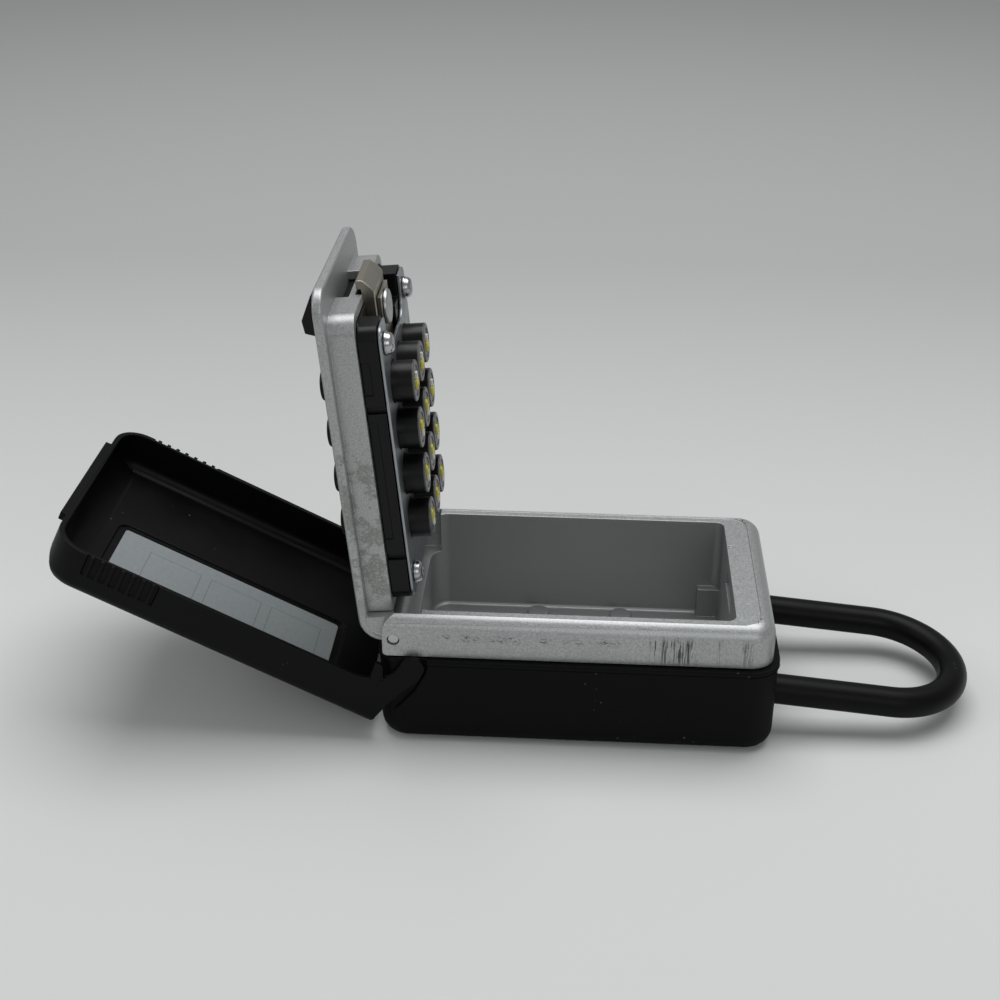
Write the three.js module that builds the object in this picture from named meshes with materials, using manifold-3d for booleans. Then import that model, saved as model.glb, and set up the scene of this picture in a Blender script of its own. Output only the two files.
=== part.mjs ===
// Portable key box with a push-button lock: a die-cast vault in a soft jacket, a lid that
// carries the lock, a dust cover and a vinyl-covered shackle. Millimetres, +Z up.
// X runs from the hinge end to the shackle end, Y across, and the origin is the middle of
// the jacket's underside. It stands open: the lid is past upright and the cover hangs back.
import * as THREE from 'three';
import { mergeVertices } from 'three/addons/utils/BufferGeometryUtils.js';
import Module from 'manifold-3d';

const wasm = await Module();
wasm.setup();

// Overall sizes
const bodyLength = 105;
const bodyWidth = 64;
const jacketHeight = 27;
const bandHeight = 12;

// Clearances and overruns
const seatGap = 0.25;
const runGap = 0.3;
const overrun = 2;

// Facets of round shapes
const cornerSteps = 4;
const edgeSteps = 2;
const boreSides = 12;
const towerSides = 12;
const capSides = 12;
const springSides = 8;
const pinSides = 12;
const barSides = 12;
const bendSteps = 16;

// Vault: the silver band round the rim
const bandCorner = 6.5;
const bandEdge = 4.5;
const cheekCorner = 4.8;
const cheekFootCorner = 1.2;
const lipWidth = 3.2;
const endLipWidth = 4.6;
const ledgeWidth = 2.3;
const endLedgeWidth = 6.6;
const ledgeDrop = 0.5;
const lipCorner = 5;

// Vault: the box under the band and its cavity
const boxInset = 1.2;
const boxCorner = 6;
const boxEdge = 2.6;
const boxFloor = 2.7;
const cavityStart = 7.5;
const cavityFloor = 7;
const cavityCorner = 5.5;
const cavityEdge = 2;
const hingeWallDrop = 0.7;
const hingeGapReach = 2.8;
const floorBossRadius = 3.4;
const floorBossHeight = 0.9;
const floorBossFromSide = 8.5;
const floorBossSpacing = 25;
const floorBossMiddle = 52.5;
const ribBlockLength = 6.4;
const ribBlockWidth = 2.5;
const ribBlockTop = 16.4;

// Jacket
const jacketOverhang = 1.5;
const jacketCorner = 8;
const jacketEdge = 4.5;
const jacketFloor = 2.4;
const beadHeight = 1.4;
const beadProud = 0.35;
const beadDrop = 0.4;

// Lid hinge
const pinBack = 3;
const pinUnderRim = 7;
const pinRadius = 1.5;
const pinRecess = 0.3;
const pinHoleRadius = 1.65;
const knuckleRadius = 3.1;
const lidOpenDegrees = 95;

// Lid shell, measured from the hinge pin: along it, and up from it when it is shut
const lidReach = 97;
const lidTop = 9.3;
const lidPlate = 2.6;
const lidCorner = 6.5;
const lidEdge = 0.7;
const lidSideGap = 0.4;
const lidHeelRadius = 6.8;
const lidHeelDrop = 2.2;
const lidHeelWall = 2.4;
const skirtStart = 5;
const skirtEnd = 89.3;
const skirtInset = 2.8;
const skirtWall = 2.4;
const skirtCorner = 5;
const skirtDepth = 6.6;
const skirtWindowHalf = 9.5;
const skirtWindowHeight = 3.2;

// Lock housing and its back plate
const housingStart = 7.6;
const housingEnd = 86;
const flangeInset = 0.8;
const flangeCorner = 3.5;
const housingFloor = 0.7;
const endMouthStart = 79.5;
const endMouthHalf = 15;
const backPlate = 0.7;
const backPlateInset = 0.6;
const backPlateCorner = 3;
const backPlateNotchStart = 75;
const towerRadius = 5.4;
const towerHeight = 5.8;
const towerEdge = 0.5;

// Buttons in three columns of four, with their springs and code shafts
const buttonRows = 4;
const buttonColumns = 3;
const codeLength = 4;
const firstRow = 26.65;
const rowPitch = 13.35;
const columnPitch = 12.5;
const capRadius = 4.1;
const capProud = 3.6;
const capDome = 0.8;
const flangeRadius = 4.8;
const flangeThickness = 1.3;
const shaftRadius = 3.9;
const shaftRecess = 0.2;
const notchDepth = 2.9;
const buttonTravel = 2.5;
const chamberFloor = 1;
const springGap = 0.4;
const springWall = 0.55;
const arrowHeight = 0.6;
const arrowLength = 4.8;
const arrowHeadLength = 2.8;
const arrowHeadWidth = 2.6;
const arrowTailWidth = 1.2;
const driverSlotLength = 1.2;
const driverSlotWidth = 0.8;

// Latch bolt, its carriage plate and rivet
const boltRear = 76.6;
const boltTip = 92.8;
const boltHalf = 8;
const boltTop = 0.4;
const boltThickness = 3.4;
const boltChamfer = 3;
const boltHookHeight = 1.2;
const boltHookLength = 2.4;
const boltTravel = 2.6;
const boltSpringRadius = 1.1;
const boltSpringBore = 4;
const rivetAlong = 82.6;
const rivetShank = 1.5;
const rivetHead = 4.6;
const rivetHeadThickness = 0.9;
const rivetTop = 4.4;
const gatePlate = 0.8;
const gateMargin = 1.9;
const gateRim = 2.7;
const gateTailHalf = 6.5;
const gateTailEnd = 87.4;

// Thumb levers on the front: OPEN on the near side, CLEAR on the far side
const leverFromSide = 9.4;
const leverHalf = 4;
const leverStart = 79;
const leverRise = 84.4;
const leverCrest = 88.6;
const leverEnd = 95.2;
const leverProud = 4;
const leverBase = 0.8;
const leverStemLength = 4;
const leverStemHalf = 1.7;
const leverStemStart = 80.4;
const leverFootHalfLength = 2.6;
const leverFootTop = 4.4;
const leverFootThickness = 2;
const leverFootHalf = 3.4;
const clearTravel = 2.5;
const clearSpringRadius = 1.1;
const clearSpringLength = 5.3;

// Screws that hold the housing and back plate
const screwFromSide = 6.1;
const screwNearHinge = 13.8;
const screwNearEnd = 80.2;
const screwHeadRadius = 2.8;
const screwHeadHeight = 1.8;
const screwShankRadius = 1.3;
const screwLength = 7;
const screwSlotWidth = 0.9;
const screwSlotDepth = 0.7;

// Shackle, which leans down from the body
const shackleLean = 5.5;
const shackleHeight = 13.1;
const shackleFromSide = 11.6;
const shackleReach = 59.1;
const shackleCoreRadius = 3.3;
const sleeveRadius = 4.2;
const sleeveBoreGap = 0.15;
const sleeveStart = 0.4;
const longLeg = 21;
const shortLeg = 9;

// Shackle latch in its block at the near corner of the cavity
const blockStart = 81;
const blockPastLeg = 11.9;
const blockTop = 20.2;
const blockEdge = 0.8;
const latchBack = 13.4;
const latchThickness = 2;
const latchBite = 0.6;
const latchTravel = 3;
const latchRail = 1.6;
const latchHalfHeight = 4.5;
const latchWindowHalf = 3.5;
const latchTabHalf = 2;
const latchTabProud = 3.2;
const notchPlay = 3.2;
const latchSpringRadius = 1.2;
const latchSpringPocket = 2.1;

// Strike pocket for the latch bolt in the shackle-end wall
const strikePlay = 0.4;

// Dust cover, drawn shut over the lid
const coverPivotX = 8.15;
const coverPivotDrop = 2.6;
const coverOpenDegrees = 153;
const coverEdgeAboveJacket = 6.9;
const coverSideGap = 0.7;
const coverEndGap = 1.7;
const coverWall = 1.5;
const coverCorner = 9;
const coverLongEdge = 3.4;
const coverNose = 8;
const coverLeverGap = 0.45;
const coverFloor = 1.4;
const coverFloorStart = 12.6;
const armRadius = 3.3;
const armBlend = 13;
const heelX = 10;
const heelDrop = 3.2;
const pipRadius = 1.5;
const pipLength = 1.1;
const ribCount = 7;
const ribPitch = 2.88;
const ribWidth = 1.1;
const ribProud = 0.35;
const ribLength = 6.5;
const ribFromEnd = 11.9;
const gripDepth = 0.6;
const catchFromSide = 13.2;
const catchProud = 1.6;
const catchHeight = 2.6;

// Bare label in a shallow recess of the cover's floor
const labelStart = 26.4;
const labelLength = 66.8;
const labelWidth = 26.5;
const labelFarEdge = 1.8;
const labelThickness = 0.25;
const labelCorner = 1;
const labelMargin = 2.2;
const recessDepth = 0.7;

// Worked-out levels and places
const rim = jacketHeight + bandHeight;
const half = bodyWidth / 2;
const lidHalf = half - lipWidth - lidSideGap;
const cavityHalf = half - lipWidth - ledgeWidth;
const cavityEnd = bodyLength - endLipWidth - endLedgeWidth;
const floorBossAcross = cavityHalf - floorBossFromSide;
const shackleHalfSpacing = half - shackleFromSide;
const blockFar = shackleHalfSpacing - blockPastLeg;
const skirtHalf = lidHalf - skirtInset;
const gateHalf = (columnPitch * (buttonColumns - 1)) / 2 + shaftRadius + runGap + gateRim;
const screwAcross = skirtHalf - screwFromSide;
const leverAcross = lidHalf - leverFromSide;
const ledgeLevel = rim - ledgeDrop;
const pinHeight = rim - pinUnderRim;
const plateUnder = lidTop - lidPlate;
const skirtUnder = plateUnder - skirtDepth;
const housingTop = plateUnder - runGap;
const flangeTop = housingTop - runGap / 2;
const boltUnder = boltTop - boltThickness;
const gateTop = boltUnder - seatGap;
const gateUnder = gateTop - gatePlate;
const chamberRadius = flangeRadius + runGap;
const chamberUnder = gateTop + seatGap + chamberFloor;
const housingUnder = gateUnder - seatGap - housingFloor;
const backPlateTop = housingUnder - seatGap;
const backPlateUnder = backPlateTop - backPlate;
const towerUnder = backPlateUnder - towerHeight;
const lastRow = firstRow + rowPitch * (buttonRows - 1);
const boxHalf = half - boxInset;
const jacketHalf = half + jacketOverhang;
const coverInnerHalf = half + coverSideGap;
const coverOuterHalf = coverInnerHalf + coverWall;
const catchHalf = coverOuterHalf - catchFromSide;
const coverPivotZ = jacketHeight - coverPivotDrop;
const coverEdge = jacketHeight + coverEdgeAboveJacket;
const coverInside = pinHeight + lidTop + leverProud + coverLeverGap;
const coverOutside = coverInside + coverFloor;
const coverInnerEnd = bodyLength + coverEndGap;
const coverEnd = coverInnerEnd + coverWall;

// Materials
function material(color, roughness, metalness) {
  return new THREE.MeshStandardMaterial({ color, roughness, metalness });
}
const silverPaint = material(0xb9bcbe, 0.42, 0.55);
const lidPaint = material(0xbabdbf, 0.4, 0.55);
const jacketRubber = material(0x111112, 0.75, 0);
const coverPlastic = material(0x0d0d0e, 0.5, 0);
const lockPlastic = material(0x141415, 0.45, 0);
const capPlastic = material(0x0e0e0f, 0.4, 0);
const vinyl = material(0x0c0c0d, 0.38, 0);
const zincPlate = material(0x8e9396, 0.38, 0.8);
const screwSteel = material(0xc9ccce, 0.22, 1);
const nickel = material(0xa39e92, 0.28, 1);
const shaftSteel = material(0x9a9c9e, 0.3, 1);
const springSteel = material(0x74777a, 0.35, 1);
const arrowYellow = material(0xcfd24a, 0.5, 0);
const labelPaper = material(0x8d979b, 0.6, 0);

// Solids from three.js geometry, joined and cut
function solid(geometry) {
  const bare = geometry.clone();
  for (const name of Object.keys(bare.attributes)) {
    if (name !== 'position') bare.deleteAttribute(name);
  }
  const merged = mergeVertices(bare, 1e-4);
  const index = merged.index.array;
  const triVerts = [];
  for (let i = 0; i < index.length; i += 3) {
    const [a, b, c] = [index[i], index[i + 1], index[i + 2]];
    if (a !== b && b !== c && c !== a) triVerts.push(a, b, c);
  }
  const vertProperties = new Float32Array(merged.attributes.position.array);
  const mesh = new wasm.Mesh({ numProp: 3, vertProperties, triVerts: new Uint32Array(triVerts) });
  return new wasm.Manifold(mesh);
}

function extrude(shape, depth, edge) {
  const settings = { depth: depth - 2 * edge, bevelEnabled: false, curveSegments: cornerSteps };
  if (edge > 0) {
    settings.bevelEnabled = true;
    settings.bevelThickness = edge;
    settings.bevelSize = edge;
    settings.bevelOffset = -edge;
    settings.bevelSegments = edgeSteps;
  }
  const geometry = new THREE.ExtrudeGeometry(shape, settings);
  geometry.translate(0, 0, edge);
  return geometry;
}

// A shape drawn in X and Y, raised along Z; its long edges can be rounded
function slab(shape, bottom, top, edge = 0) {
  return solid(extrude(shape, top - bottom, edge).translate(0, 0, bottom));
}

// A shape drawn in X and Z, drawn out along Y
function across(shape, near, far, edge = 0) {
  return solid(extrude(shape, far - near, edge).rotateX(Math.PI / 2).translate(0, far, 0));
}

function block(x0, x1, y0, y1, z0, z1) {
  const geometry = new THREE.BoxGeometry(x1 - x0, y1 - y0, z1 - z0);
  return solid(geometry.translate((x0 + x1) / 2, (y0 + y1) / 2, (z0 + z1) / 2));
}

function cylinder(radius, length, sides) {
  return new THREE.CylinderGeometry(radius, radius, length, sides);
}

function uprightRod(radius, x, y, bottom, top, sides = boreSides) {
  const geometry = cylinder(radius, top - bottom, sides).rotateX(Math.PI / 2);
  return solid(geometry.translate(x, y, (bottom + top) / 2));
}

function crossRod(radius, x, z, near, far, sides = pinSides) {
  return solid(cylinder(radius, far - near, sides).translate(x, (near + far) / 2, z));
}

function longRod(radius, y, z, start, end, sides = pinSides) {
  const geometry = cylinder(radius, end - start, sides).rotateZ(Math.PI / 2);
  return solid(geometry.translate((start + end) / 2, y, z));
}

// A profile of radius and height pairs turned about Z
function turned(profile, sides) {
  const points = profile.map(([radius, height]) => new THREE.Vector2(radius, height));
  return solid(new THREE.LatheGeometry(points, sides).rotateX(Math.PI / 2));
}

function outline(start, end, halfWidth, startCorner, endCorner = startCorner) {
  const quarter = Math.PI / 2;
  const shape = new THREE.Shape();
  shape.moveTo(start + startCorner, -halfWidth);
  shape.absarc(end - endCorner, -halfWidth + endCorner, endCorner, -quarter, 0, false);
  shape.absarc(end - endCorner, halfWidth - endCorner, endCorner, 0, quarter, false);
  const startCentre = start + startCorner;
  shape.absarc(startCentre, halfWidth - startCorner, startCorner, quarter, 2 * quarter, false);
  shape.absarc(startCentre, -halfWidth + startCorner, startCorner, 2 * quarter, 3 * quarter, false);
  return shape;
}

function polygon(points) {
  return new THREE.Shape(points.map(([x, y]) => new THREE.Vector2(x, y)));
}

function union(solids) {
  return solids.reduce((joined, next) => joined.add(next));
}

function cut(stock, cutters) {
  return cutters.reduce((left, cutter) => left.subtract(cutter), stock);
}

function turn(shape, degrees, x, z) {
  const matrix = new THREE.Matrix4().makeRotationY(THREE.MathUtils.degToRad(degrees));
  matrix.setPosition(x, 0, z);
  return shape.transform(matrix.elements);
}

function shift(shape, x, y, z) {
  return shape.translate([x, y, z]);
}

const safe = new THREE.Group();
safe.position.x = -bodyLength / 2;

function addPiece(parent, name, shape, finish) {
  const { numProp, vertProperties, triVerts } = shape.getMesh();
  const positions = new Float32Array((vertProperties.length / numProp) * 3);
  for (let i = 0; i < positions.length / 3; i += 1) {
    positions.set(vertProperties.subarray(i * numProp, i * numProp + 3), i * 3);
  }
  const geometry = new THREE.BufferGeometry();
  geometry.setAttribute('position', new THREE.BufferAttribute(positions, 3));
  geometry.setIndex(new THREE.BufferAttribute(new Uint32Array(triVerts), 1));
  geometry.computeVertexNormals();
  const mesh = new THREE.Mesh(geometry, finish);
  mesh.name = name;
  parent.add(mesh);
  return mesh;
}

// Groups: the lid turns about its pin, the cover about its pips, the shackle leans
const lid = new THREE.Group();
lid.position.set(pinBack, 0, pinHeight);
lid.rotation.y = -THREE.MathUtils.degToRad(lidOpenDegrees);
const cover = new THREE.Group();
cover.position.set(coverPivotX, 0, coverPivotZ);
cover.rotation.y = -THREE.MathUtils.degToRad(coverOpenDegrees);
const shackle = new THREE.Group();
shackle.position.set(bodyLength, 0, shackleHeight);
shackle.rotation.y = THREE.MathUtils.degToRad(shackleLean);
safe.add(lid, cover, shackle);

function inShackleFrame(shape) {
  return turn(shape, shackleLean, bodyLength, shackleHeight);
}

// Vault body

function band() {
  const plan = outline(-2 * bandCorner, bodyLength, half, bandCorner);
  const ring = slab(plan, jacketHeight - 2 * bandEdge, rim, bandEdge);
  const side = new THREE.Shape();
  side.moveTo(cheekFootCorner, jacketHeight);
  side.lineTo(bodyLength + overrun, jacketHeight);
  side.lineTo(bodyLength + overrun, rim + overrun);
  side.lineTo(cheekCorner, rim + overrun);
  side.lineTo(cheekCorner, rim);
  side.absarc(cheekCorner, rim - cheekCorner, cheekCorner, Math.PI / 2, Math.PI, false);
  const footCentre = jacketHeight + cheekFootCorner;
  side.absarc(cheekFootCorner, footCentre, cheekFootCorner, Math.PI, 1.5 * Math.PI, false);
  return ring.intersect(across(side, -half - overrun, half + overrun));
}

function vaultBox() {
  const plan = outline(boxInset, bodyLength - boxInset, boxHalf, boxCorner);
  const box = slab(plan, boxFloor, jacketHeight + 3 * boxEdge, boxEdge);
  const above = block(
    -overrun, bodyLength + overrun, -half, half, jacketHeight + boxEdge, rim + overrun,
  );
  return box.subtract(above);
}

function latchBlock() {
  const halfHeight = (blockTop - cavityFloor) / 2 + blockEdge;
  const profile = outline(-cavityHalf - overrun, -blockFar, halfHeight, blockEdge);
  const geometry = extrude(profile, cavityEnd + overrun - blockStart, 0);
  geometry.rotateX(Math.PI / 2).rotateZ(Math.PI / 2);
  const middle = (blockTop + cavityFloor) / 2 - blockEdge;
  return solid(geometry.translate(blockStart, 0, middle));
}

function floorBosses() {
  const bosses = [];
  for (const side of [-1, 1]) {
    for (const place of [-1, 1]) {
      const dome = turned(
        [[0, -overrun], [floorBossRadius, -overrun], [floorBossRadius, floorBossHeight / 2],
          [floorBossRadius * 0.8, floorBossHeight], [0, floorBossHeight]],
        boreSides,
      );
      const along = floorBossMiddle + (place * floorBossSpacing) / 2;
      bosses.push(shift(dome, along, side * floorBossAcross, cavityFloor));
    }
  }
  return bosses;
}

function latchSlotNear() {
  const plateNear = -shackleHalfSpacing - shackleCoreRadius + latchBite - latchRail;
  return plateNear - latchTravel - runGap;
}

function latchSlot() {
  const start = -latchBack - latchThickness / 2 - seatGap;
  const end = -latchBack + latchThickness / 2 + seatGap;
  const near = latchSlotNear();
  const high = latchHalfHeight + seatGap;
  const slot = block(start, end, near, -blockFar + overrun, -high, high);
  const pocketRadius = latchSpringRadius + seatGap;
  const pocket = crossRod(pocketRadius, -latchBack, 0, near - latchSpringPocket, near + seatGap);
  return inShackleFrame(slot.add(pocket));
}

function legBores() {
  const bore = shackleCoreRadius + runGap;
  const near = longRod(bore, -shackleHalfSpacing, 0, -longLeg - runGap, overrun, barSides);
  const far = longRod(bore, shackleHalfSpacing, 0, -shortLeg - runGap, overrun, barSides);
  return inShackleFrame(near.add(far));
}

function vaultBody() {
  const lipPlan = outline(-bodyLength, bodyLength - endLipWidth, half - lipWidth, lipCorner);
  const cavityPlan = outline(cavityStart, cavityEnd, cavityHalf, cavityCorner);
  const cavity = slab(cavityPlan, cavityFloor, rim + 3 * cavityEdge, cavityEdge);
  const hingeWallTop = pinHeight - lidHeelRadius + hingeWallDrop;
  const hingeGap = block(
    -overrun, cavityStart + hingeGapReach, -half + lipWidth, half - lipWidth,
    hingeWallTop, rim + overrun,
  );
  const strikeTop = pinHeight + boltTop + boltHookHeight + strikePlay;
  const strikeEnd = pinBack + boltTip + strikePlay;
  const strike = block(
    cavityEnd - overrun, strikeEnd, -boltHalf - runGap, boltHalf + runGap,
    pinHeight + boltUnder - runGap, strikeTop,
  );
  const stock = cut(band().add(vaultBox()), [slab(lipPlan, ledgeLevel, rim + overrun), cavity]);
  const farRib = block(
    cavityEnd - ribBlockLength, cavityEnd + overrun,
    cavityHalf - ribBlockWidth, cavityHalf + overrun, cavityFloor - overrun, ribBlockTop,
  );
  const fitted = union([stock, latchBlock(), farRib, ...floorBosses()]);
  return cut(fitted, [
    hingeGap, strike, latchSlot(), legBores(),
    crossRod(pinHoleRadius, pinBack, pinHeight, -half - overrun, half + overrun),
  ]);
}

addPiece(safe, 'vault_body', vaultBody(), silverPaint);

// Jacket

function armPocketShape() {
  const angle = THREE.MathUtils.degToRad(coverOpenDegrees);
  const [c, s] = [Math.cos(angle), Math.sin(angle)];
  const reach = armRadius + runGap + seatGap;
  const place = (x, z) => [coverPivotX + x * c - z * s, coverPivotZ + x * s + z * c];
  const below = place(-reach, 0);
  const waist = place(-reach, 2 * armRadius);
  const foot = place(heelX - coverPivotX - 2 * runGap, coverOutside - coverPivotZ);
  return polygon([
    [coverPivotX + reach, jacketHeight + overrun], [-coverPivotX, jacketHeight + overrun],
    [-coverPivotX, foot[1] - overrun], [foot[0], foot[1] - overrun], waist, below,
    [coverPivotX + reach, coverPivotZ],
  ]);
}

function jacket() {
  const inside = seatGap - boxInset;
  const outer = outline(-jacketOverhang, bodyLength + jacketOverhang, jacketHalf, jacketCorner);
  const shell = slab(outer, 0, jacketHeight + 3 * jacketEdge, jacketEdge);
  const bead = outline(
    -jacketOverhang - beadProud, bodyLength + jacketOverhang + beadProud, jacketHalf + beadProud,
    jacketCorner + beadProud,
  );
  const beadTop = jacketHeight - beadDrop;
  const hollow = outline(-inside, bodyLength + inside, half + inside, boxCorner + seatGap);
  const above = block(
    -bodyLength, 2 * bodyLength, -bodyWidth, bodyWidth,
    jacketHeight - seatGap, jacketHeight + bodyWidth,
  );
  const pockets = [];
  for (const side of [-1, 1]) {
    const deep = side * (coverInnerHalf - seatGap);
    const clear = side * (jacketHalf + overrun);
    pockets.push(across(armPocketShape(), Math.min(deep, clear), Math.max(deep, clear)));
  }
  const beyond = jacketHalf + overrun;
  const holes = crossRod(pipRadius + seatGap, coverPivotX, coverPivotZ, -beyond, beyond);
  const exits = [-1, 1].map((side) => longRod(
    sleeveRadius + runGap, side * shackleHalfSpacing, 0, -2 * overrun, 3 * overrun, barSides,
  ));
  return cut(shell.add(slab(bead, beadTop - beadHeight, beadTop)), [
    above, slab(hollow, jacketFloor, jacketHeight + 3 * boxEdge, boxEdge), ...pockets, holes,
    ...exits.map(inShackleFrame),
  ]);
}

addPiece(safe, 'jacket', jacket(), jacketRubber);
addPiece(
  safe, 'lid_hinge_pin',
  crossRod(pinRadius, pinBack, pinHeight, -half + pinRecess, half - pinRecess), shaftSteel,
);

// Shackle and its latch, in the leaning frame whose origin is at the body's end

// A round section carried along one leg, round the bend and back along the other
function bentRod(radius, nearStart, farStart) {
  const bend = shackleReach - sleeveRadius - shackleHalfSpacing;
  const rings = [];
  const ring = (x, y, angle) => rings.push({ x, y, angle });
  ring(nearStart, -shackleHalfSpacing, 0);
  for (let i = 0; i <= bendSteps; i += 1) {
    const angle = (Math.PI * i) / bendSteps;
    ring(bend + shackleHalfSpacing * Math.sin(angle), -shackleHalfSpacing * Math.cos(angle), angle);
  }
  ring(farStart, shackleHalfSpacing, Math.PI);
  const positions = [];
  for (const { x, y, angle } of rings) {
    for (let i = 0; i < barSides; i += 1) {
      const turnAngle = (2 * Math.PI * i) / barSides;
      const out = radius * Math.cos(turnAngle);
      const lift = radius * Math.sin(turnAngle);
      positions.push(x + out * Math.sin(angle), y - out * Math.cos(angle), lift);
    }
  }
  const last = rings.length - 1;
  const centres = positions.length / 3;
  positions.push(rings[0].x, rings[0].y, 0, rings[last].x, rings[last].y, 0);
  const index = [];
  for (let i = 0; i < barSides; i += 1) {
    const next = (i + 1) % barSides;
    index.push(centres, i, next);
    index.push(centres + 1, last * barSides + next, last * barSides + i);
    for (let j = 0; j < last; j += 1) {
      const [a, b] = [j * barSides + i, j * barSides + next];
      index.push(a, b + barSides, b, a, a + barSides, b + barSides);
    }
  }
  const geometry = new THREE.BufferGeometry();
  geometry.setAttribute('position', new THREE.Float32BufferAttribute(positions, 3));
  geometry.setIndex(index);
  return solid(geometry);
}

function shackleBar() {
  const bar = bentRod(shackleCoreRadius, -longLeg, -shortLeg);
  const floor = -shackleHalfSpacing - shackleCoreRadius + latchBite + seatGap;
  const notch = block(
    -latchBack - latchThickness / 2 - notchPlay, -latchBack + latchThickness / 2 + runGap,
    -shackleHalfSpacing - shackleCoreRadius - overrun, floor, -shackleCoreRadius, shackleCoreRadius,
  );
  return bar.subtract(notch);
}

function shackleSleeve() {
  const boreStart = -sleeveStart - overrun;
  const bore = bentRod(shackleCoreRadius + sleeveBoreGap, boreStart, boreStart);
  return bentRod(sleeveRadius, -sleeveStart, -sleeveStart).subtract(bore);
}

function shackleLatch() {
  const nearEdge = -shackleHalfSpacing - shackleCoreRadius + latchBite;
  const farEdge = -shackleHalfSpacing + shackleCoreRadius + latchTravel + runGap;
  const window = block(
    -latchBack - latchThickness, -latchBack + latchThickness, nearEdge, farEdge,
    -latchWindowHalf, latchWindowHalf,
  );
  const [start, end] = [-latchBack - latchThickness / 2, -latchBack + latchThickness / 2];
  const [plateNear, plateFar] = [nearEdge - latchRail, -blockFar - latchRail];
  const plate = block(start, end, plateNear, plateFar, -latchHalfHeight, latchHalfHeight);
  const tabEnd = -blockFar + latchTabProud;
  const tab = block(start, end, plateFar - latchRail, tabEnd, -latchTabHalf, latchTabHalf);
  return plate.add(tab).subtract(window);
}

function latchSpring() {
  const near = latchSlotNear();
  const start = near - latchSpringPocket + seatGap;
  const end = near + latchTravel + runGap - seatGap;
  const tube = (radius, spare) => crossRod(radius, -latchBack, 0, start - spare, end + spare, springSides);
  return tube(latchSpringRadius, 0).subtract(tube(latchSpringRadius - springWall, overrun));
}

addPiece(shackle, 'shackle_bar', shackleBar(), shaftSteel);
addPiece(shackle, 'shackle_sleeve', shackleSleeve(), vinyl);
addPiece(shackle, 'shackle_latch', shackleLatch(), zincPlate);
addPiece(shackle, 'shackle_latch_spring', latchSpring(), springSteel);

// Lid, drawn shut: X runs along it from the hinge pin and Z is up from the pin

function buttonPlaces() {
  const places = [];
  for (let row = 0; row < buttonRows; row += 1) {
    for (let column = 0; column < buttonColumns; column += 1) {
      const along = firstRow + row * rowPitch;
      const off = (column - (buttonColumns - 1) / 2) * columnPitch;
      const turned = row * buttonColumns + column >= buttonRows * buttonColumns - codeLength;
      places.push({ along, off, turned });
    }
  }
  return places;
}

function leverSlot(off, travel) {
  const start = leverStemStart - travel - runGap;
  const end = leverStemStart + leverStemLength + runGap;
  return block(
    start, end, off - leverStemHalf - runGap, off + leverStemHalf + runGap,
    plateUnder - overrun, lidTop + overrun,
  );
}

function lidHeel() {
  const [x, z] = [lidHeelRadius - pinBack + runGap, lidTop - lidHeelRadius];
  const inner = lidHeelRadius - lidHeelWall;
  const shape = new THREE.Shape();
  shape.moveTo(skirtStart + skirtWall, lidTop);
  shape.absarc(x, z, lidHeelRadius, Math.PI / 2, Math.PI, false);
  shape.lineTo(x - lidHeelRadius, -lidHeelDrop);
  shape.lineTo(x - inner, -lidHeelDrop);
  shape.absarc(x, z, inner, Math.PI, Math.PI / 2, true);
  shape.lineTo(skirtStart + skirtWall, lidTop - lidHeelWall);
  const knuckle = crossRod(knuckleRadius, 0, 0, -lidHalf, lidHalf);
  const beyond = block(-bodyLength, x - lidHeelRadius, -half, half, -bodyWidth, bodyWidth);
  return across(shape, -lidHalf, lidHalf).add(knuckle.subtract(beyond));
}

function lidShell() {
  const plan = outline(-2 * lidCorner, lidReach, lidHalf, lidCorner);
  const front = block(
    -3 * lidCorner, skirtStart + lidEdge, -half, half, plateUnder - overrun, lidTop + overrun,
  );
  const plate = slab(plan, plateUnder, lidTop, lidEdge).subtract(front);
  const skirtPlan = outline(skirtStart, skirtEnd, skirtHalf, lidEdge, skirtCorner);
  const innerPlan = outline(
    skirtStart + skirtWall, skirtEnd - skirtWall, skirtHalf - skirtWall,
    lidEdge, skirtCorner - skirtWall,
  );
  const skirt = slab(skirtPlan, skirtUnder, plateUnder + lidEdge);
  const hollow = slab(innerPlan, skirtUnder - overrun, plateUnder);
  const wallStart = skirtEnd - 2 * skirtWall;
  const wallEnd = skirtEnd + overrun;
  const window = block(
    wallStart, wallEnd, -skirtWindowHalf, skirtWindowHalf,
    plateUnder - skirtWindowHeight, plateUnder,
  );
  const boltWay = block(
    wallStart, wallEnd, -boltHalf - runGap, boltHalf + runGap,
    skirtUnder - overrun, boltTop + boltHookHeight + runGap,
  );
  const shell = union([plate, lidHeel(), skirt]);
  const holes = buttonPlaces().map(({ along, off }) => uprightRod(
    capRadius + runGap, along, off, plateUnder - overrun, lidTop + overrun, capSides,
  ));
  return cut(shell, [
    hollow, window, boltWay, ...holes, crossRod(pinHoleRadius, 0, 0, -half, half),
    leverSlot(-leverAcross, boltTravel), leverSlot(leverAcross, clearTravel),
  ]);
}

function screwPlaces() {
  const places = [];
  for (const along of [screwNearHinge, screwNearEnd]) {
    places.push({ along, off: -screwAcross }, { along, off: screwAcross });
  }
  return places;
}

function gateSlot() {
  const start = firstRow - shaftRadius - gateMargin - boltTravel - 3 * runGap;
  return block(
    start, boltRear, -gateHalf - runGap, gateHalf + runGap, gateUnder - seatGap, gateTop + seatGap,
  );
}

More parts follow.
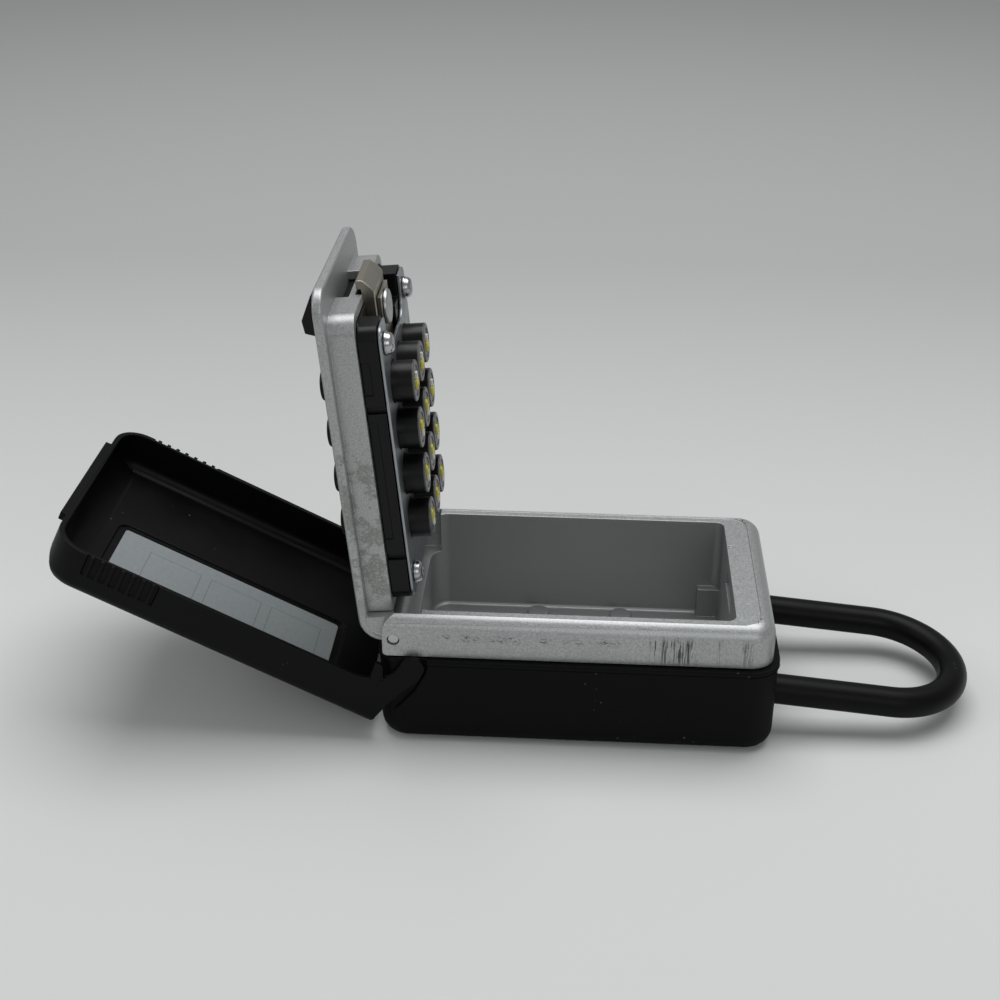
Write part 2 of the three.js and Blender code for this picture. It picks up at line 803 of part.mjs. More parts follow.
function lockHousing() {
  const innerHalf = skirtHalf - skirtWall - seatGap;
  const innerStart = skirtStart + skirtWall + seatGap;
  const innerEnd = skirtEnd - skirtWall - seatGap;
  const upperPlan = outline(innerStart, innerEnd, innerHalf, lidEdge, skirtCorner - skirtWall);
  const upper = slab(upperPlan, skirtUnder - 2 * seatGap, housingTop);
  const flangePlan = outline(housingStart, housingEnd, skirtHalf - flangeInset, flangeCorner);
  const flange = slab(flangePlan, housingUnder, skirtUnder - seatGap);
  const towers = [];
  const bores = [];
  for (const { along, off } of buttonPlaces()) {
    const tower = turned(
      [[0, 0], [towerRadius - towerEdge, 0], [towerRadius, towerEdge],
        [towerRadius, housingUnder - towerUnder + seatGap], [0, housingUnder - towerUnder + seatGap]],
      towerSides,
    );
    towers.push(shift(tower, along, off, towerUnder));
    bores.push(uprightRod(shaftRadius + runGap, along, off, towerUnder - overrun, housingTop));
    bores.push(uprightRod(chamberRadius, along, off, chamberUnder, housingTop + overrun));
  }
  const boltPocket = block(
    boltRear - boltTravel - runGap, housingEnd + overrun, -boltHalf - runGap, boltHalf + runGap,
    housingUnder - overrun, boltTop + runGap,
  );
  const endMouth = block(
    endMouthStart, housingEnd + overrun, -endMouthHalf, endMouthHalf,
    housingUnder - overrun, skirtUnder - 2 * seatGap,
  );
  const footUnder = leverFootTop - leverFootThickness - runGap;
  const footEnd = leverStemStart + leverStemLength + 2 * runGap;
  const openPocket = block(
    rivetAlong - leverFootHalfLength - boltTravel - runGap, footEnd + runGap,
    -leverAcross - leverFootHalf - runGap, leverFootHalf + runGap, footUnder, housingTop + overrun,
  );
  const rivetWay = block(
    rivetAlong - boltTravel - rivetShank - runGap, innerEnd + overrun, -boltHalf, boltHalf,
    boltTop, boltTop + boltHookHeight + 2 * runGap,
  );
  const clearPocket = block(
    rivetAlong - leverFootHalfLength - clearSpringLength - runGap, footEnd + runGap,
    leverAcross - leverFootHalf - runGap, leverAcross + leverFootHalf + runGap,
    footUnder, housingTop + overrun,
  );
  const screws = screwPlaces().map(({ along, off }) => uprightRod(
    screwShankRadius + runGap, along, off,
    housingUnder - overrun, backPlateUnder + screwLength + seatGap, pinSides,
  ));
  return cut(union([upper, flange, ...towers]), [
    ...bores, boltPocket, endMouth, openPocket, rivetWay, clearPocket, gateSlot(), ...screws,
  ]);
}

function lockBackPlate() {
  const halfWidth = skirtHalf - flangeInset - backPlateInset;
  const [plateStart, plateEnd] = [housingStart + backPlateInset, housingEnd - backPlateInset];
  const plan = outline(plateStart, plateEnd, halfWidth, backPlateCorner);
  const notch = block(
    backPlateNotchStart, housingEnd + overrun, -endMouthHalf, endMouthHalf,
    backPlateUnder - overrun, backPlateTop + overrun,
  );
  const holes = buttonPlaces().map(({ along, off }) => uprightRod(
    towerRadius + seatGap, along, off, backPlateUnder - overrun, backPlateTop + overrun, towerSides,
  ));
  const screws = screwPlaces().map(({ along, off }) => uprightRod(
    screwShankRadius + runGap, along, off, backPlateUnder - overrun, backPlateTop + overrun, pinSides,
  ));
  return cut(slab(plan, backPlateUnder, backPlateTop), [notch, ...holes, ...screws]);
}

function screw({ along, off }) {
  const under = backPlateUnder - seatGap;
  const pan = turned(
    [[0, -screwHeadHeight], [screwHeadRadius * 0.6, -screwHeadHeight],
      [screwHeadRadius * 0.9, -screwHeadHeight * 0.6], [screwHeadRadius, 0], [screwShankRadius, 0],
      [screwShankRadius, screwLength], [0, screwLength]],
    pinSides,
  );
  const slotFloor = -screwHeadHeight + screwSlotDepth;
  const [reach, slotHalf] = [screwHeadRadius / 2, screwSlotWidth / 2];
  const slots = [
    block(-reach, reach, -slotHalf, slotHalf, -overrun, slotFloor),
    block(-slotHalf, slotHalf, -reach, reach, -overrun, slotFloor),
  ];
  return shift(cut(pan, slots), along, off, under);
}

function latchBolt() {
  const tipLow = boltTip - boltChamfer;
  const profile = polygon([
    [boltRear, boltUnder], [tipLow, boltUnder], [boltTip, boltUnder + boltChamfer],
    [boltTip, boltTop + boltHookHeight], [boltTip - boltHookLength, boltTop + boltHookHeight],
    [boltTip - boltHookLength, boltTop], [boltRear, boltTop],
  ]);
  const middle = (boltTop + boltUnder) / 2;
  return cut(across(profile, -boltHalf, boltHalf), [
    uprightRod(rivetShank + seatGap, rivetAlong, 0, boltUnder - overrun, boltTop + overrun, pinSides),
    longRod(boltSpringRadius + runGap, 0, middle, boltRear - overrun, boltRear + boltSpringBore),
  ]);
}

function latchRivet() {
  const under = gateUnder - seatGap;
  const head = turned(
    [[0, -rivetHeadThickness], [rivetHead * 0.85, -rivetHeadThickness],
      [rivetHead, -rivetHeadThickness / 2], [rivetHead, 0], [rivetShank, 0],
      [rivetShank, rivetTop - under], [0, rivetTop - under]],
    boreSides,
  );
  return shift(head, rivetAlong, 0, under);
}

function boltSpring() {
  const middle = (boltTop + boltUnder) / 2;
  const start = boltRear - boltTravel;
  const end = boltRear + boltSpringBore - seatGap;
  const tube = (radius, spare) => longRod(radius, 0, middle, start - spare, end + spare, springSides);
  return tube(boltSpringRadius, 0).subtract(tube(boltSpringRadius - springWall, overrun));
}

// The gate's square holes slide into the shafts' notches, where every notch faces its edge
function gatePlateShape() {
  const reach = shaftRadius + runGap;
  const start = firstRow - reach - gateMargin;
  const end = lastRow + reach + gateMargin;
  const plate = block(start, end, -gateHalf, gateHalf, gateUnder, gateTop);
  const tail = block(end - overrun, gateTailEnd, -gateTailHalf, gateTailHalf, gateUnder, gateTop);
  const holes = buttonPlaces().map(({ along, off }) => block(
    along - reach, along + reach, off - reach, off + reach, gateUnder - overrun, gateTop + overrun,
  ));
  const eye = uprightRod(rivetShank + seatGap, rivetAlong, 0, gateUnder - overrun, gateTop + overrun);
  return cut(plate.add(tail), [...holes, eye]);
}

function lever(off, footFrom, footTo) {
  const wedge = new THREE.Shape();
  const crest = lidTop + leverProud;
  wedge.moveTo(leverStart, lidTop + seatGap);
  wedge.lineTo(leverEnd, lidTop + seatGap);
  wedge.lineTo(leverEnd, lidTop + leverBase);
  wedge.lineTo(leverCrest, crest);
  wedge.lineTo(leverRise + leverBase, crest - leverBase / 2);
  wedge.lineTo(leverRise, lidTop + leverBase + seatGap);
  wedge.lineTo(leverStart, lidTop + leverBase);
  const thumb = across(wedge, off - leverHalf, off + leverHalf);
  const stem = block(
    leverStemStart, leverStemStart + leverStemLength, off - leverStemHalf, off + leverStemHalf,
    leverFootTop - leverFootThickness, lidTop + leverBase,
  );
  const footStart = rivetAlong - leverFootHalfLength;
  const footEnd = leverStemStart + leverStemLength;
  const foot = block(footStart, footEnd, footFrom, footTo, leverFootTop - leverFootThickness, leverFootTop);
  return union([thumb, stem, foot]);
}

function openLever() {
  const lowest = leverFootTop - leverFootThickness - overrun;
  const eye = uprightRod(rivetShank + seatGap, rivetAlong, 0, lowest, leverFootTop + overrun, pinSides);
  return lever(-leverAcross, -leverAcross - leverFootHalf, leverFootHalf).subtract(eye);
}

function clearSpring() {
  const middle = leverFootTop - leverFootThickness / 2;
  const end = rivetAlong - leverFootHalfLength - seatGap;
  const start = end - clearSpringLength + seatGap;
  const tube = (radius, spare) => longRod(
    radius, leverAcross, middle, start - spare, end + spare, springSides,
  );
  return tube(clearSpringRadius, 0).subtract(tube(clearSpringRadius - springWall, overrun));
}

function button({ along, off }) {
  const top = lidTop + capProud;
  const flangeUnder = flangeTop - flangeThickness;
  const profile = [
    [0, flangeUnder], [flangeRadius, flangeUnder], [flangeRadius, flangeTop],
    [capRadius, flangeTop], [capRadius, top - capDome], [capRadius - capDome, top], [0, top],
  ];
  return shift(turned(profile, capSides), along, off, 0);
}

function buttonSpring({ along, off }) {
  const inner = shaftRadius + springGap;
  const outer = inner + springWall;
  const [bottom, top] = [chamberUnder + seatGap, flangeTop - flangeThickness - seatGap];
  const section = [[inner, bottom], [outer, bottom], [outer, top], [inner, top], [inner, bottom]];
  return shift(turned(section, springSides), along, off, 0);
}

// The flats at the gate's level let it pass now, and the one above them when the button is
// down and the shaft is turned. The shafts of the code stand turned, with their tails up.
function codeShaft({ along, off, turned: isTurned }) {
  const face = towerUnder + shaftRecess;
  const rod = uprightRod(shaftRadius, 0, 0, face, flangeTop - flangeThickness - seatGap);
  const [low, high] = [gateUnder - 2 * runGap, gateTop + 2 * runGap];
  const flat = shaftRadius - notchDepth;
  const notch = (side, rise) => {
    const [inner, outer] = [side * flat, side * (shaftRadius + overrun)];
    const [near, far] = [Math.min(inner, outer), Math.max(inner, outer)];
    return block(near, far, -2 * shaftRadius, 2 * shaftRadius, low + rise, high + rise);
  };
  const [tail, tip] = [-arrowLength / 2, arrowLength / 2];
  const [neck, shoulder] = [tip - arrowHeadLength, tip - arrowHeadWidth / 4];
  const arrow = polygon([
    [tail, -arrowTailWidth / 2], [neck, -arrowTailWidth / 2], [neck, -arrowHeadWidth / 2],
    [shoulder, -arrowHeadWidth / 2], [tip, -arrowTailWidth / 2], [tip, arrowTailWidth / 2],
    [shoulder, arrowHeadWidth / 2], [neck, arrowHeadWidth / 2], [neck, arrowTailWidth / 2],
    [tail, arrowTailWidth / 2],
  ]);
  const slot = block(
    arrowLength / 2 - driverSlotLength, arrowLength / 2 + overrun,
    -driverSlotWidth / 2, driverSlotWidth / 2, face - arrowHeight - overrun, face - arrowHeight / 2,
  );
  const pointer = slab(arrow, face - arrowHeight, face + seatGap).subtract(slot);
  const whole = cut(rod, [notch(1, 0), notch(-1, 0), notch(-1, buttonTravel)]).add(pointer);
  return shift(isTurned ? whole.rotate([0, 0, 180]) : whole, along, off, 0);
}

addPiece(lid, 'lid_shell', lidShell(), lidPaint);
addPiece(lid, 'lock_housing', lockHousing(), lockPlastic);
addPiece(lid, 'lock_back_plate', lockBackPlate(), zincPlate);
screwPlaces().forEach((place, i) => addPiece(lid, `lock_screw_${i + 1}`, screw(place), screwSteel));
addPiece(lid, 'latch_bolt', latchBolt(), nickel);
addPiece(lid, 'latch_rivet', latchRivet(), screwSteel);
addPiece(lid, 'latch_bolt_spring', boltSpring(), springSteel);
addPiece(lid, 'gate_plate', gatePlateShape(), nickel);
addPiece(lid, 'open_lever', openLever(), capPlastic);
addPiece(
  lid, 'clear_lever',
  lever(leverAcross, leverAcross - leverFootHalf, leverAcross + leverFootHalf), capPlastic,
);
addPiece(lid, 'clear_lever_spring', clearSpring(), springSteel);
buttonPlaces().forEach((place, i) => {
  const number = String(i + 1).padStart(2, '0');
  addPiece(lid, `button_${number}`, button(place), capPlastic);
  addPiece(lid, `button_spring_${number}`, buttonSpring(place), springSteel);
  addPiece(lid, `code_shaft_${number}`, codeShaft(place), arrowYellow);
});

// Dust cover, drawn shut in the body's own coordinates and then moved to its pivot

function coverSideShape() {
  const shape = new THREE.Shape();
  shape.moveTo(coverEnd + overrun, coverEdge);
  shape.lineTo(coverEnd + overrun, coverOutside + overrun);
  shape.lineTo(heelX + heelDrop, coverOutside + overrun);
  shape.lineTo(heelX + heelDrop, coverOutside);
  shape.quadraticCurveTo(heelX, coverOutside, heelX, coverOutside - heelDrop);
  const armBack = coverPivotX - armRadius;
  const waist = coverPivotZ + 3 * armRadius;
  shape.quadraticCurveTo(heelX - heelDrop / 2, waist, armBack, coverPivotZ + armRadius);
  shape.lineTo(armBack, coverPivotZ);
  shape.absarc(coverPivotX, coverPivotZ, armRadius, Math.PI, 2 * Math.PI, false);
  const armFront = coverPivotX + armRadius;
  shape.quadraticCurveTo(armFront, coverEdge - runGap, coverPivotX + armBlend, coverEdge);
  return shape;
}

function coverBox(end, halfWidth, top, corner, longEdge, nose) {
  const plan = outline(-bodyWidth, end, halfWidth, corner);
  const shell = slab(plan, -bodyWidth, top, longEdge);
  const side = new THREE.Shape();
  side.moveTo(-2 * bodyWidth, -2 * bodyWidth);
  side.lineTo(end, -2 * bodyWidth);
  side.absarc(end - nose, top - nose, nose, 0, Math.PI / 2, false);
  side.lineTo(-2 * bodyWidth, top);
  return shell.intersect(across(side, -bodyWidth, bodyWidth));
}

function gripPlaces() {
  const places = [];
  for (const side of [-1, 1]) {
    for (let i = 0; i < ribCount; i += 1) {
      places.push({ side, along: coverEnd - ribFromEnd - i * ribPitch });
    }
  }
  return places;
}

function sideBlock(side, from, to, inner, outer, bottom, top) {
  const [near, far] = [side * inner, side * outer].sort((a, b) => a - b);
  return block(from, to, near, far, bottom, top);
}

function coverRibs() {
  return gripPlaces().map(({ side, along }) => sideBlock(
    side, along - ribWidth / 2, along + ribWidth / 2, coverOuterHalf - gripDepth - seatGap,
    coverOuterHalf + ribProud, coverEdge, coverEdge + ribLength,
  ));
}

function gripRecesses() {
  const first = coverEnd - ribFromEnd;
  const last = first - (ribCount - 1) * ribPitch;
  return [-1, 1].map((side) => sideBlock(
    side, last - ribPitch / 2, first + ribPitch / 2, coverOuterHalf - gripDepth, coverOuterHalf + overrun,
    coverEdge - overrun, coverEdge + ribLength,
  ));
}

function labelPlan(margin) {
  const plan = outline(
    labelStart - margin, labelStart + labelLength + margin, labelWidth / 2 + margin, labelCorner + margin,
  );
  const middle = labelFarEdge - labelWidth / 2;
  const points = plan.getPoints(cornerSteps).map(({ x, y }) => new THREE.Vector2(x, y + middle));
  return new THREE.Shape(points);
}

function dustCover() {
  const outer = coverBox(coverEnd, coverOuterHalf, coverOutside, coverCorner, coverLongEdge, coverNose);
  const inner = coverBox(
    coverInnerEnd, coverInnerHalf, coverInside,
    coverCorner - coverWall, coverLongEdge - coverWall, coverNose - coverWall,
  );
  const behind = block(
    -2 * bodyWidth, coverFloorStart, -coverInnerHalf, coverInnerHalf,
    -bodyWidth, coverOutside + bodyWidth,
  );
  const pips = [-1, 1].map((side) => {
    const [from, to] = [side * (coverInnerHalf - pipLength), side * (coverInnerHalf + coverWall / 2)];
    return crossRod(pipRadius, coverPivotX, coverPivotZ, Math.min(from, to), Math.max(from, to));
  });
  const lip = block(
    coverInnerEnd, coverEnd + catchProud, -catchHalf, catchHalf, coverEdge, coverEdge + catchHeight,
  );
  const walls = cut(outer, [inner, behind])
    .intersect(across(coverSideShape(), -bodyWidth, bodyWidth));
  const recess = slab(labelPlan(labelMargin), coverInside - overrun, coverInside + recessDepth);
  const whole = union([cut(walls, [recess, ...gripRecesses()]), lip, ...coverRibs(), ...pips]);
  return shift(whole, -coverPivotX, 0, -coverPivotZ);
}

function coverLabel() {
  const top = coverInside + recessDepth - seatGap;
  return shift(slab(labelPlan(0), top - labelThickness, top), -coverPivotX, 0, -coverPivotZ);
}

addPiece(cover, 'dust_cover', dustCover(), coverPlastic);
addPiece(cover, 'cover_label', coverLabel(), labelPaper);

export default safe;
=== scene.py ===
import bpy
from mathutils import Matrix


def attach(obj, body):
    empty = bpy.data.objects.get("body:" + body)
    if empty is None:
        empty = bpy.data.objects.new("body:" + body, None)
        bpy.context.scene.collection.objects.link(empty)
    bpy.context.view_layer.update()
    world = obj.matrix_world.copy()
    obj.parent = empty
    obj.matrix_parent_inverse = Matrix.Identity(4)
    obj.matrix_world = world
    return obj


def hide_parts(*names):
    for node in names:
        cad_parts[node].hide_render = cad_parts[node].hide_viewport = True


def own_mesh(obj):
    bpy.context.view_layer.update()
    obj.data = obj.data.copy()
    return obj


bl_info = {
    "name": "Portable key box",
    "version": (1, 0, 0),
    "blender": (4, 5, 0),
    "location": "3D View > Sidebar > Key box",
    "description": "Dresses the push-button key box: vault, jacket, lid, lock, cover and shackle",
    "category": "Object",
}

import math

import bmesh
import bpy
from bpy.props import FloatProperty, FloatVectorProperty, IntProperty, PointerProperty
from mathutils import Matrix, Vector
from mathutils.bvhtree import BVHTree

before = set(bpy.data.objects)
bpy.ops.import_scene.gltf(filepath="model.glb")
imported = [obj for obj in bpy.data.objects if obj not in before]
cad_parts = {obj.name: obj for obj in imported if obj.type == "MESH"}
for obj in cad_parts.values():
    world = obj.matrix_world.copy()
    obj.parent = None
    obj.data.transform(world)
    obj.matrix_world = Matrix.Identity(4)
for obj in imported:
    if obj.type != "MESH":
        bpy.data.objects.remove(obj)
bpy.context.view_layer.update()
MM = 0.001


def size(millimetres, description):
    return FloatProperty, {
        "default": millimetres * MM, "description": description, "unit": 'LENGTH', "precision": 5}


def number(count, description):
    return IntProperty, {"default": count, "description": description, "min": 1}


def degrees(angle, description):
    return FloatProperty, {
        "default": math.radians(angle), "description": description, "subtype": 'ANGLE', "unit": 'ROTATION'}


def colour(red, green, blue, description):
    return FloatVectorProperty, {
        "default": (red, green, blue, 1.0), "description": description, "size": 4, "subtype": 'COLOR',
        "min": 0, "max": 1}


def named(group):
    """Gives each property of a group the name that its key spells."""
    for key, (kind, settings) in group.__annotations__.items():
        group.__annotations__[key] = kind(name=key.replace("_", " ").capitalize(), **settings)
    return group


# Sizes and colours that a user can change

@named
class VaultSizes(bpy.types.PropertyGroup):
    length: size(105, "Hinge end to shackle end of the silver band")
    width: size(64, "Across the silver band")
    band_height: size(12, "From the jacket's top to the rim")
    band_corner: size(6.5, "Corner radius of the band seen from above")
    band_edge: size(4.5, "Rounding of the band's rim and foot")
    cheek_corner: size(4.8, "Rounding of the hinge cheeks at the rim")
    cheek_foot: size(1.2, "Rounding of the hinge cheeks at the jacket")
    lip_width: size(3.2, "Rim beside the lid")
    end_lip: size(4.1, "Rim at the shackle end")
    ledge_width: size(2.3, "Step that the lid shuts on, along the sides")
    end_ledge: size(6.6, "Step that the lid shuts on, at the shackle end")
    ledge_drop: size(0.5, "Depth of the step under the rim")
    lip_corner: size(5, "Corner radius inside the rim")
    box_inset: size(1.2, "How far the box under the band stands in")
    box_corner: size(6, "Corner radius of the box under the band")
    box_edge: size(2.6, "Rounding under the box")
    box_floor: size(2.7, "Height of the box's underside")
    cavity_start: size(7.5, "Where the cavity begins behind the hinge")
    cavity_floor: size(7, "Height of the cavity's floor")
    cavity_corner: size(5.5, "Corner radius of the cavity")
    cavity_end_corner: size(2.5, "Corner radius of the cavity at the shackle end")
    cavity_edge: size(1.2, "Rounding round the cavity's floor")
    hinge_drop: size(0.7, "Hinge wall above the lid's swing")
    hinge_reach: size(2.8, "How far the gap for the lid's heel reaches into the cavity")
    boss_radius: size(3.4, "Low round bosses on the cavity's floor")
    boss_height: size(0.9, "Height of the bosses on the floor")
    boss_across: size(45, "Distance between the two rows of bosses")
    boss_spacing: size(25, "Distance between the bosses of a row")
    rib_length: size(6.4, "Block at the far corner of the cavity")
    rib_width: size(2.5, "Width of the block at the far corner")
    rib_top: size(16.4, "Height of the block at the far corner")
    block_start: size(81, "Where the shackle's latch block begins")
    block_far: size(8.5, "How near the middle the latch block comes")
    block_top: size(20.2, "Height of the latch block")
    block_sunk: size(1, "How far the latch block reaches into the cavity's walls")
    block_corner: size(0.8, "Corner radius of the latch block")
    strike_gap: size(0.4, "Play round the bolt's tip and hook in the end ledge")
    edge_rounding: size(0.2, "Rounding of the casting's small edges")
    punch_radius: size(0.6, "Radius of the mark on the end ledge")
    punch_along: size(95.4, "Punch mark from the hinge end")
    punch_across: size(12.3, "Punch mark from the middle")
    scuff_start: size(19.3, "Where the scuffs begin, from the middle of the band")
    scuff_thin: size(31.6, "Where the scuffs grow thin")
    scuff_end: size(49, "Where the scuffs end")
    scuff_low: size(27.8, "Lower ends of the scuffs")
    scuff_high: size(35.2, "Upper ends of the scuffs")
    fleck_start: size(-37, "Where the row of flecks begins")
    fleck_end: size(11, "Where the row of flecks ends")
    fleck_level: size(33.4, "Height of the row of flecks")
    fleck_reach: size(0.9, "How far the flecks lie from their row")
    scuff_near: size(1.4, "Depth of the full scuffs into the band's side")
    scuff_deep: size(2.4, "Depth at which the scuffs end")


@named
class JacketSizes(bpy.types.PropertyGroup):
    height: size(27, "Height of the soft jacket")
    overhang: size(1.5, "How far the jacket stands out past the band")
    corner: size(8, "Corner radius seen from above")
    edge: size(4.5, "Rounding round the underside")
    floor: size(2.4, "Thickness under the box")
    bead_height: size(1.4, "Height of the bead round the top")
    bead_proud: size(0.35, "How far the bead stands out")
    bead_drop: size(0.4, "How far the bead lies under the top")
    edge_rounding: size(0.45, "Rounding of the jacket's cut edges")


@named
class LidSizes(bpy.types.PropertyGroup):
    pin_back: size(3, "Hinge pin from the hinge end")
    pin_drop: size(7, "Hinge pin below the rim")
    pin_radius: size(1.5, "Radius of the hinge pin")
    pin_hole: size(1.65, "Radius of the hole round the hinge pin")
    pin_recess: size(0.7, "How far the pin's ends lie in their holes")
    knuckle: size(3.1, "Radius of the lid's knuckle round the pin")
    open_angle: degrees(95, "How far the lid stands open")
    reach: size(97, "Hinge pin to the lid's free end")
    top: size(9.3, "Lid's outer face above the pin when it is shut")
    plate: size(2.6, "Thickness of the lid's plate")
    corner: size(6.5, "Corner radius of the plate")
    edge: size(0.7, "Rounding of the plate's edges")
    side_gap: size(0.4, "Play between the lid and the rim")
    heel_radius: size(6.8, "Rounding of the lid behind the pin")
    heel_drop: size(2.2, "How far the heel reaches under the pin")
    heel_wall: size(2.4, "Thickness of the heel")
    stain_start: size(8, "Where the stains on the lid's edge begin")
    stain_end: size(56, "Where the stains on the lid's edge end")
    stain_deep: size(2.6, "Depth at which the stains end")
    stain_blur: size(4, "Blur of the stains' ends along the lid")
    web: size(3.4, "Width of the webs that close the heel's sides")
    skirt_start: size(5, "Where the skirt under the plate begins")
    skirt_end: size(89.3, "Where the skirt under the plate ends")
    skirt_half: size(25.6, "Half the width over the skirt")
    skirt_wall: size(2.4, "Thickness of the skirt")
    skirt_corner: size(5, "Corner radius of the skirt")
    skirt_depth: size(6.6, "Depth of the skirt")
    window_half: size(9.5, "Half the width of the skirt's end window")
    window_height: size(3.2, "Height of the skirt's end window")


@named
class LockSizes(bpy.types.PropertyGroup):
    case_start: size(7.6, "Where the lock's case begins from the pin")
    case_end: size(86, "Where the lock's case ends")
    flange_inset: size(0.8, "How far the case stands in from the skirt")
    flange_corner: size(3.5, "Corner radius of the case")
    bore_end: size(1, "Case left over the code shafts' bores")
    case_floor: size(0.7, "Thickness of the case under the gate's slot")
    mouth_start: size(79.5, "Where the case opens for the bolt")
    mouth_half: size(15, "Half the width of the case's open end")
    back_plate: size(0.7, "Thickness of the back plate")
    plate_inset: size(0.6, "How far the back plate stands in")
    plate_corner: size(3, "Corner radius of the back plate")
    notch_start: size(75, "Where the back plate's notch begins")
    notch_corner: size(5, "Corner radius of the back plate's notch")
    panel_start: size(27, "Where the sunk panel on the case's sides begins")
    panel_end: size(61, "Where the sunk panel on the case's sides ends")
    short_panel_start: size(68.4, "Where the short sunk panel near the bolt begins")
    short_panel_end: size(77.2, "Where the short sunk panel near the bolt ends")
    panel_depth: size(0.35, "How deep the panels on the case's sides are sunk")
    panel_height: size(2.5, "Height of the sunk panels under the skirt")
    gap_near_hinge: size(21.5, "Middle of the gap in the case's side near the hinge")
    gap_near_bolt: size(64.2, "Middle of the gap in the case's side near the bolt")
    gap_width: size(1.8, "Width of the gaps in the case's sides")
    gap_depth: size(1.1, "Depth of the gaps in the case's sides")
    tower_radius: size(5.4, "Radius of the tower round each button's shaft")
    tower_height: size(5.8, "How far the towers stand out of the back plate")
    tower_edge: size(0.5, "Rounding of the towers' ends")
    rows: number(4, "Rows of buttons along the lid")
    columns: number(3, "Buttons in a row")
    code_length: number(4, "Shafts turned for the code, from the far end")
    first_row: size(26.65, "First row of buttons from the pin")
    row_pitch: size(13.35, "Distance between rows")
    column_pitch: size(12.5, "Distance between columns")
    cap_radius: size(4.1, "Radius of a push button")
    cap_proud: size(3.6, "How far a button stands out of the lid")
    cap_dome: size(0.8, "Rounding of a button's top edge")
    cap_dish: size(0.35, "Depth of the hollow in a button's top")
    flange_radius: size(4.8, "Radius of the flange that holds a button in")
    flange_thickness: size(1.3, "Thickness of that flange")
    shaft_radius: size(3.9, "Radius of a code shaft")
    shaft_recess: size(0.2, "How far a shaft's end lies in its tower")
    notch_depth: size(2.9, "Depth of the gate notches in a shaft")
    travel: size(2.5, "How far a button presses in")
    chamber_floor: size(1, "Thickness of the case between a button's chamber and the gate")
    arrow_height: size(0.6, "How far the arrow stands out of a shaft")
    arrow_length: size(4.8, "Length of the arrow")
    arrow_head_length: size(2.8, "Length of the arrow's wide part")
    arrow_head_width: size(2.6, "Width of the arrow's wide part")
    arrow_tail_width: size(1.2, "Width of the arrow's tail")
    slot_length: size(1.2, "Slot at the arrow's tip")
    slot_width: size(0.8, "Width of the slot at the arrow's tip")


@named
class LatchSizes(bpy.types.PropertyGroup):
    rear: size(76.6, "Rear end of the bolt from the pin")
    tip: size(92.8, "Tip of the bolt from the pin")
    half: size(8, "Half the width of the bolt")
    top: size(0.4, "Top of the bolt above the pin")
    thickness: size(3.4, "Thickness of the bolt")
    chamfer: size(3, "Slope at the bolt's tip")
    hook_height: size(1.2, "Height of the hook at the tip")
    hook_length: size(2.4, "Length of the hook at the tip")
    travel: size(2.6, "How far the bolt draws back")
    spring_bore: size(1.4, "Radius of the bore for the bolt's spring")
    spring_depth: size(4, "Depth of the bore for the bolt's spring")
    spring_wire: size(0.45, "Thickness of the springs' wire")
    spring_gap: size(0.4, "Gap between a button's spring and its shaft")
    spring_turns: number(4, "Turns of a button's spring")
    thin_turns: number(6, "Turns of the other springs")
    clear_spring: size(5.3, "Length of the far lever's spring")
    rivet_along: size(82.6, "Rivet from the pin")
    rivet_shank: size(1.5, "Radius of the rivet's shank")
    rivet_head: size(4.6, "Radius of the rivet's head")
    rivet_thickness: size(0.9, "Thickness of the rivet's head")
    rivet_top: size(4.4, "Far end of the rivet above the pin")
    gate: size(0.8, "Thickness of the gate plate under the bolt")
    gate_margin: size(1.9, "Gate plate beyond the last row of shafts")
    gate_rim: size(2.7, "Gate plate beside the outer shafts")
    lever_across: size(19, "Thumb levers from the middle of the lid")
    lever_half: size(4, "Half the width of a thumb lever")
    lever_start: size(79, "Where a thumb lever begins")
    lever_rise: size(84.4, "Foot of the thumb lever's front")
    lever_crest: size(88.6, "Highest edge of a thumb lever")
    lever_end: size(95.2, "Where a thumb lever ends")
    lever_proud: size(4, "How far a thumb lever stands out of the lid")
    lever_base: size(0.8, "Thickness of a thumb lever's rim")
    stem_start: size(80.4, "Where a lever's stem begins")
    stem_length: size(4, "Length of a lever's stem")
    stem_half: size(1.7, "Half the width of a lever's stem")
    foot_half_length: size(2.6, "Half the length of a lever's foot")
    foot_top: size(4.4, "Top of a lever's foot above the pin")
    foot_thickness: size(2, "Thickness of a lever's foot")
    foot_half: size(3.4, "Half the width of a lever's foot")
    clear_travel: size(2.5, "How far the far lever slides")
    screw_across: size(19.5, "Case screws from the middle")
    screw_near: size(13.8, "Case screws nearest the hinge pin")
    screw_far: size(80.2, "Case screws nearest the bolt")
    screw_head: size(3.1, "Radius of a case screw's head")
    screw_height: size(2.1, "Height of a case screw's head")
    screw_rim: size(0.5, "Height of the straight rim of a screw's head")
    screw_shank: size(1.3, "Radius of a case screw's shank")
    screw_length: size(7, "Length of a case screw's shank")
    cross_width: size(0.9, "Width of the cross slot in a screw")
    cross_depth: size(0.9, "Depth of the cross slot in a screw")


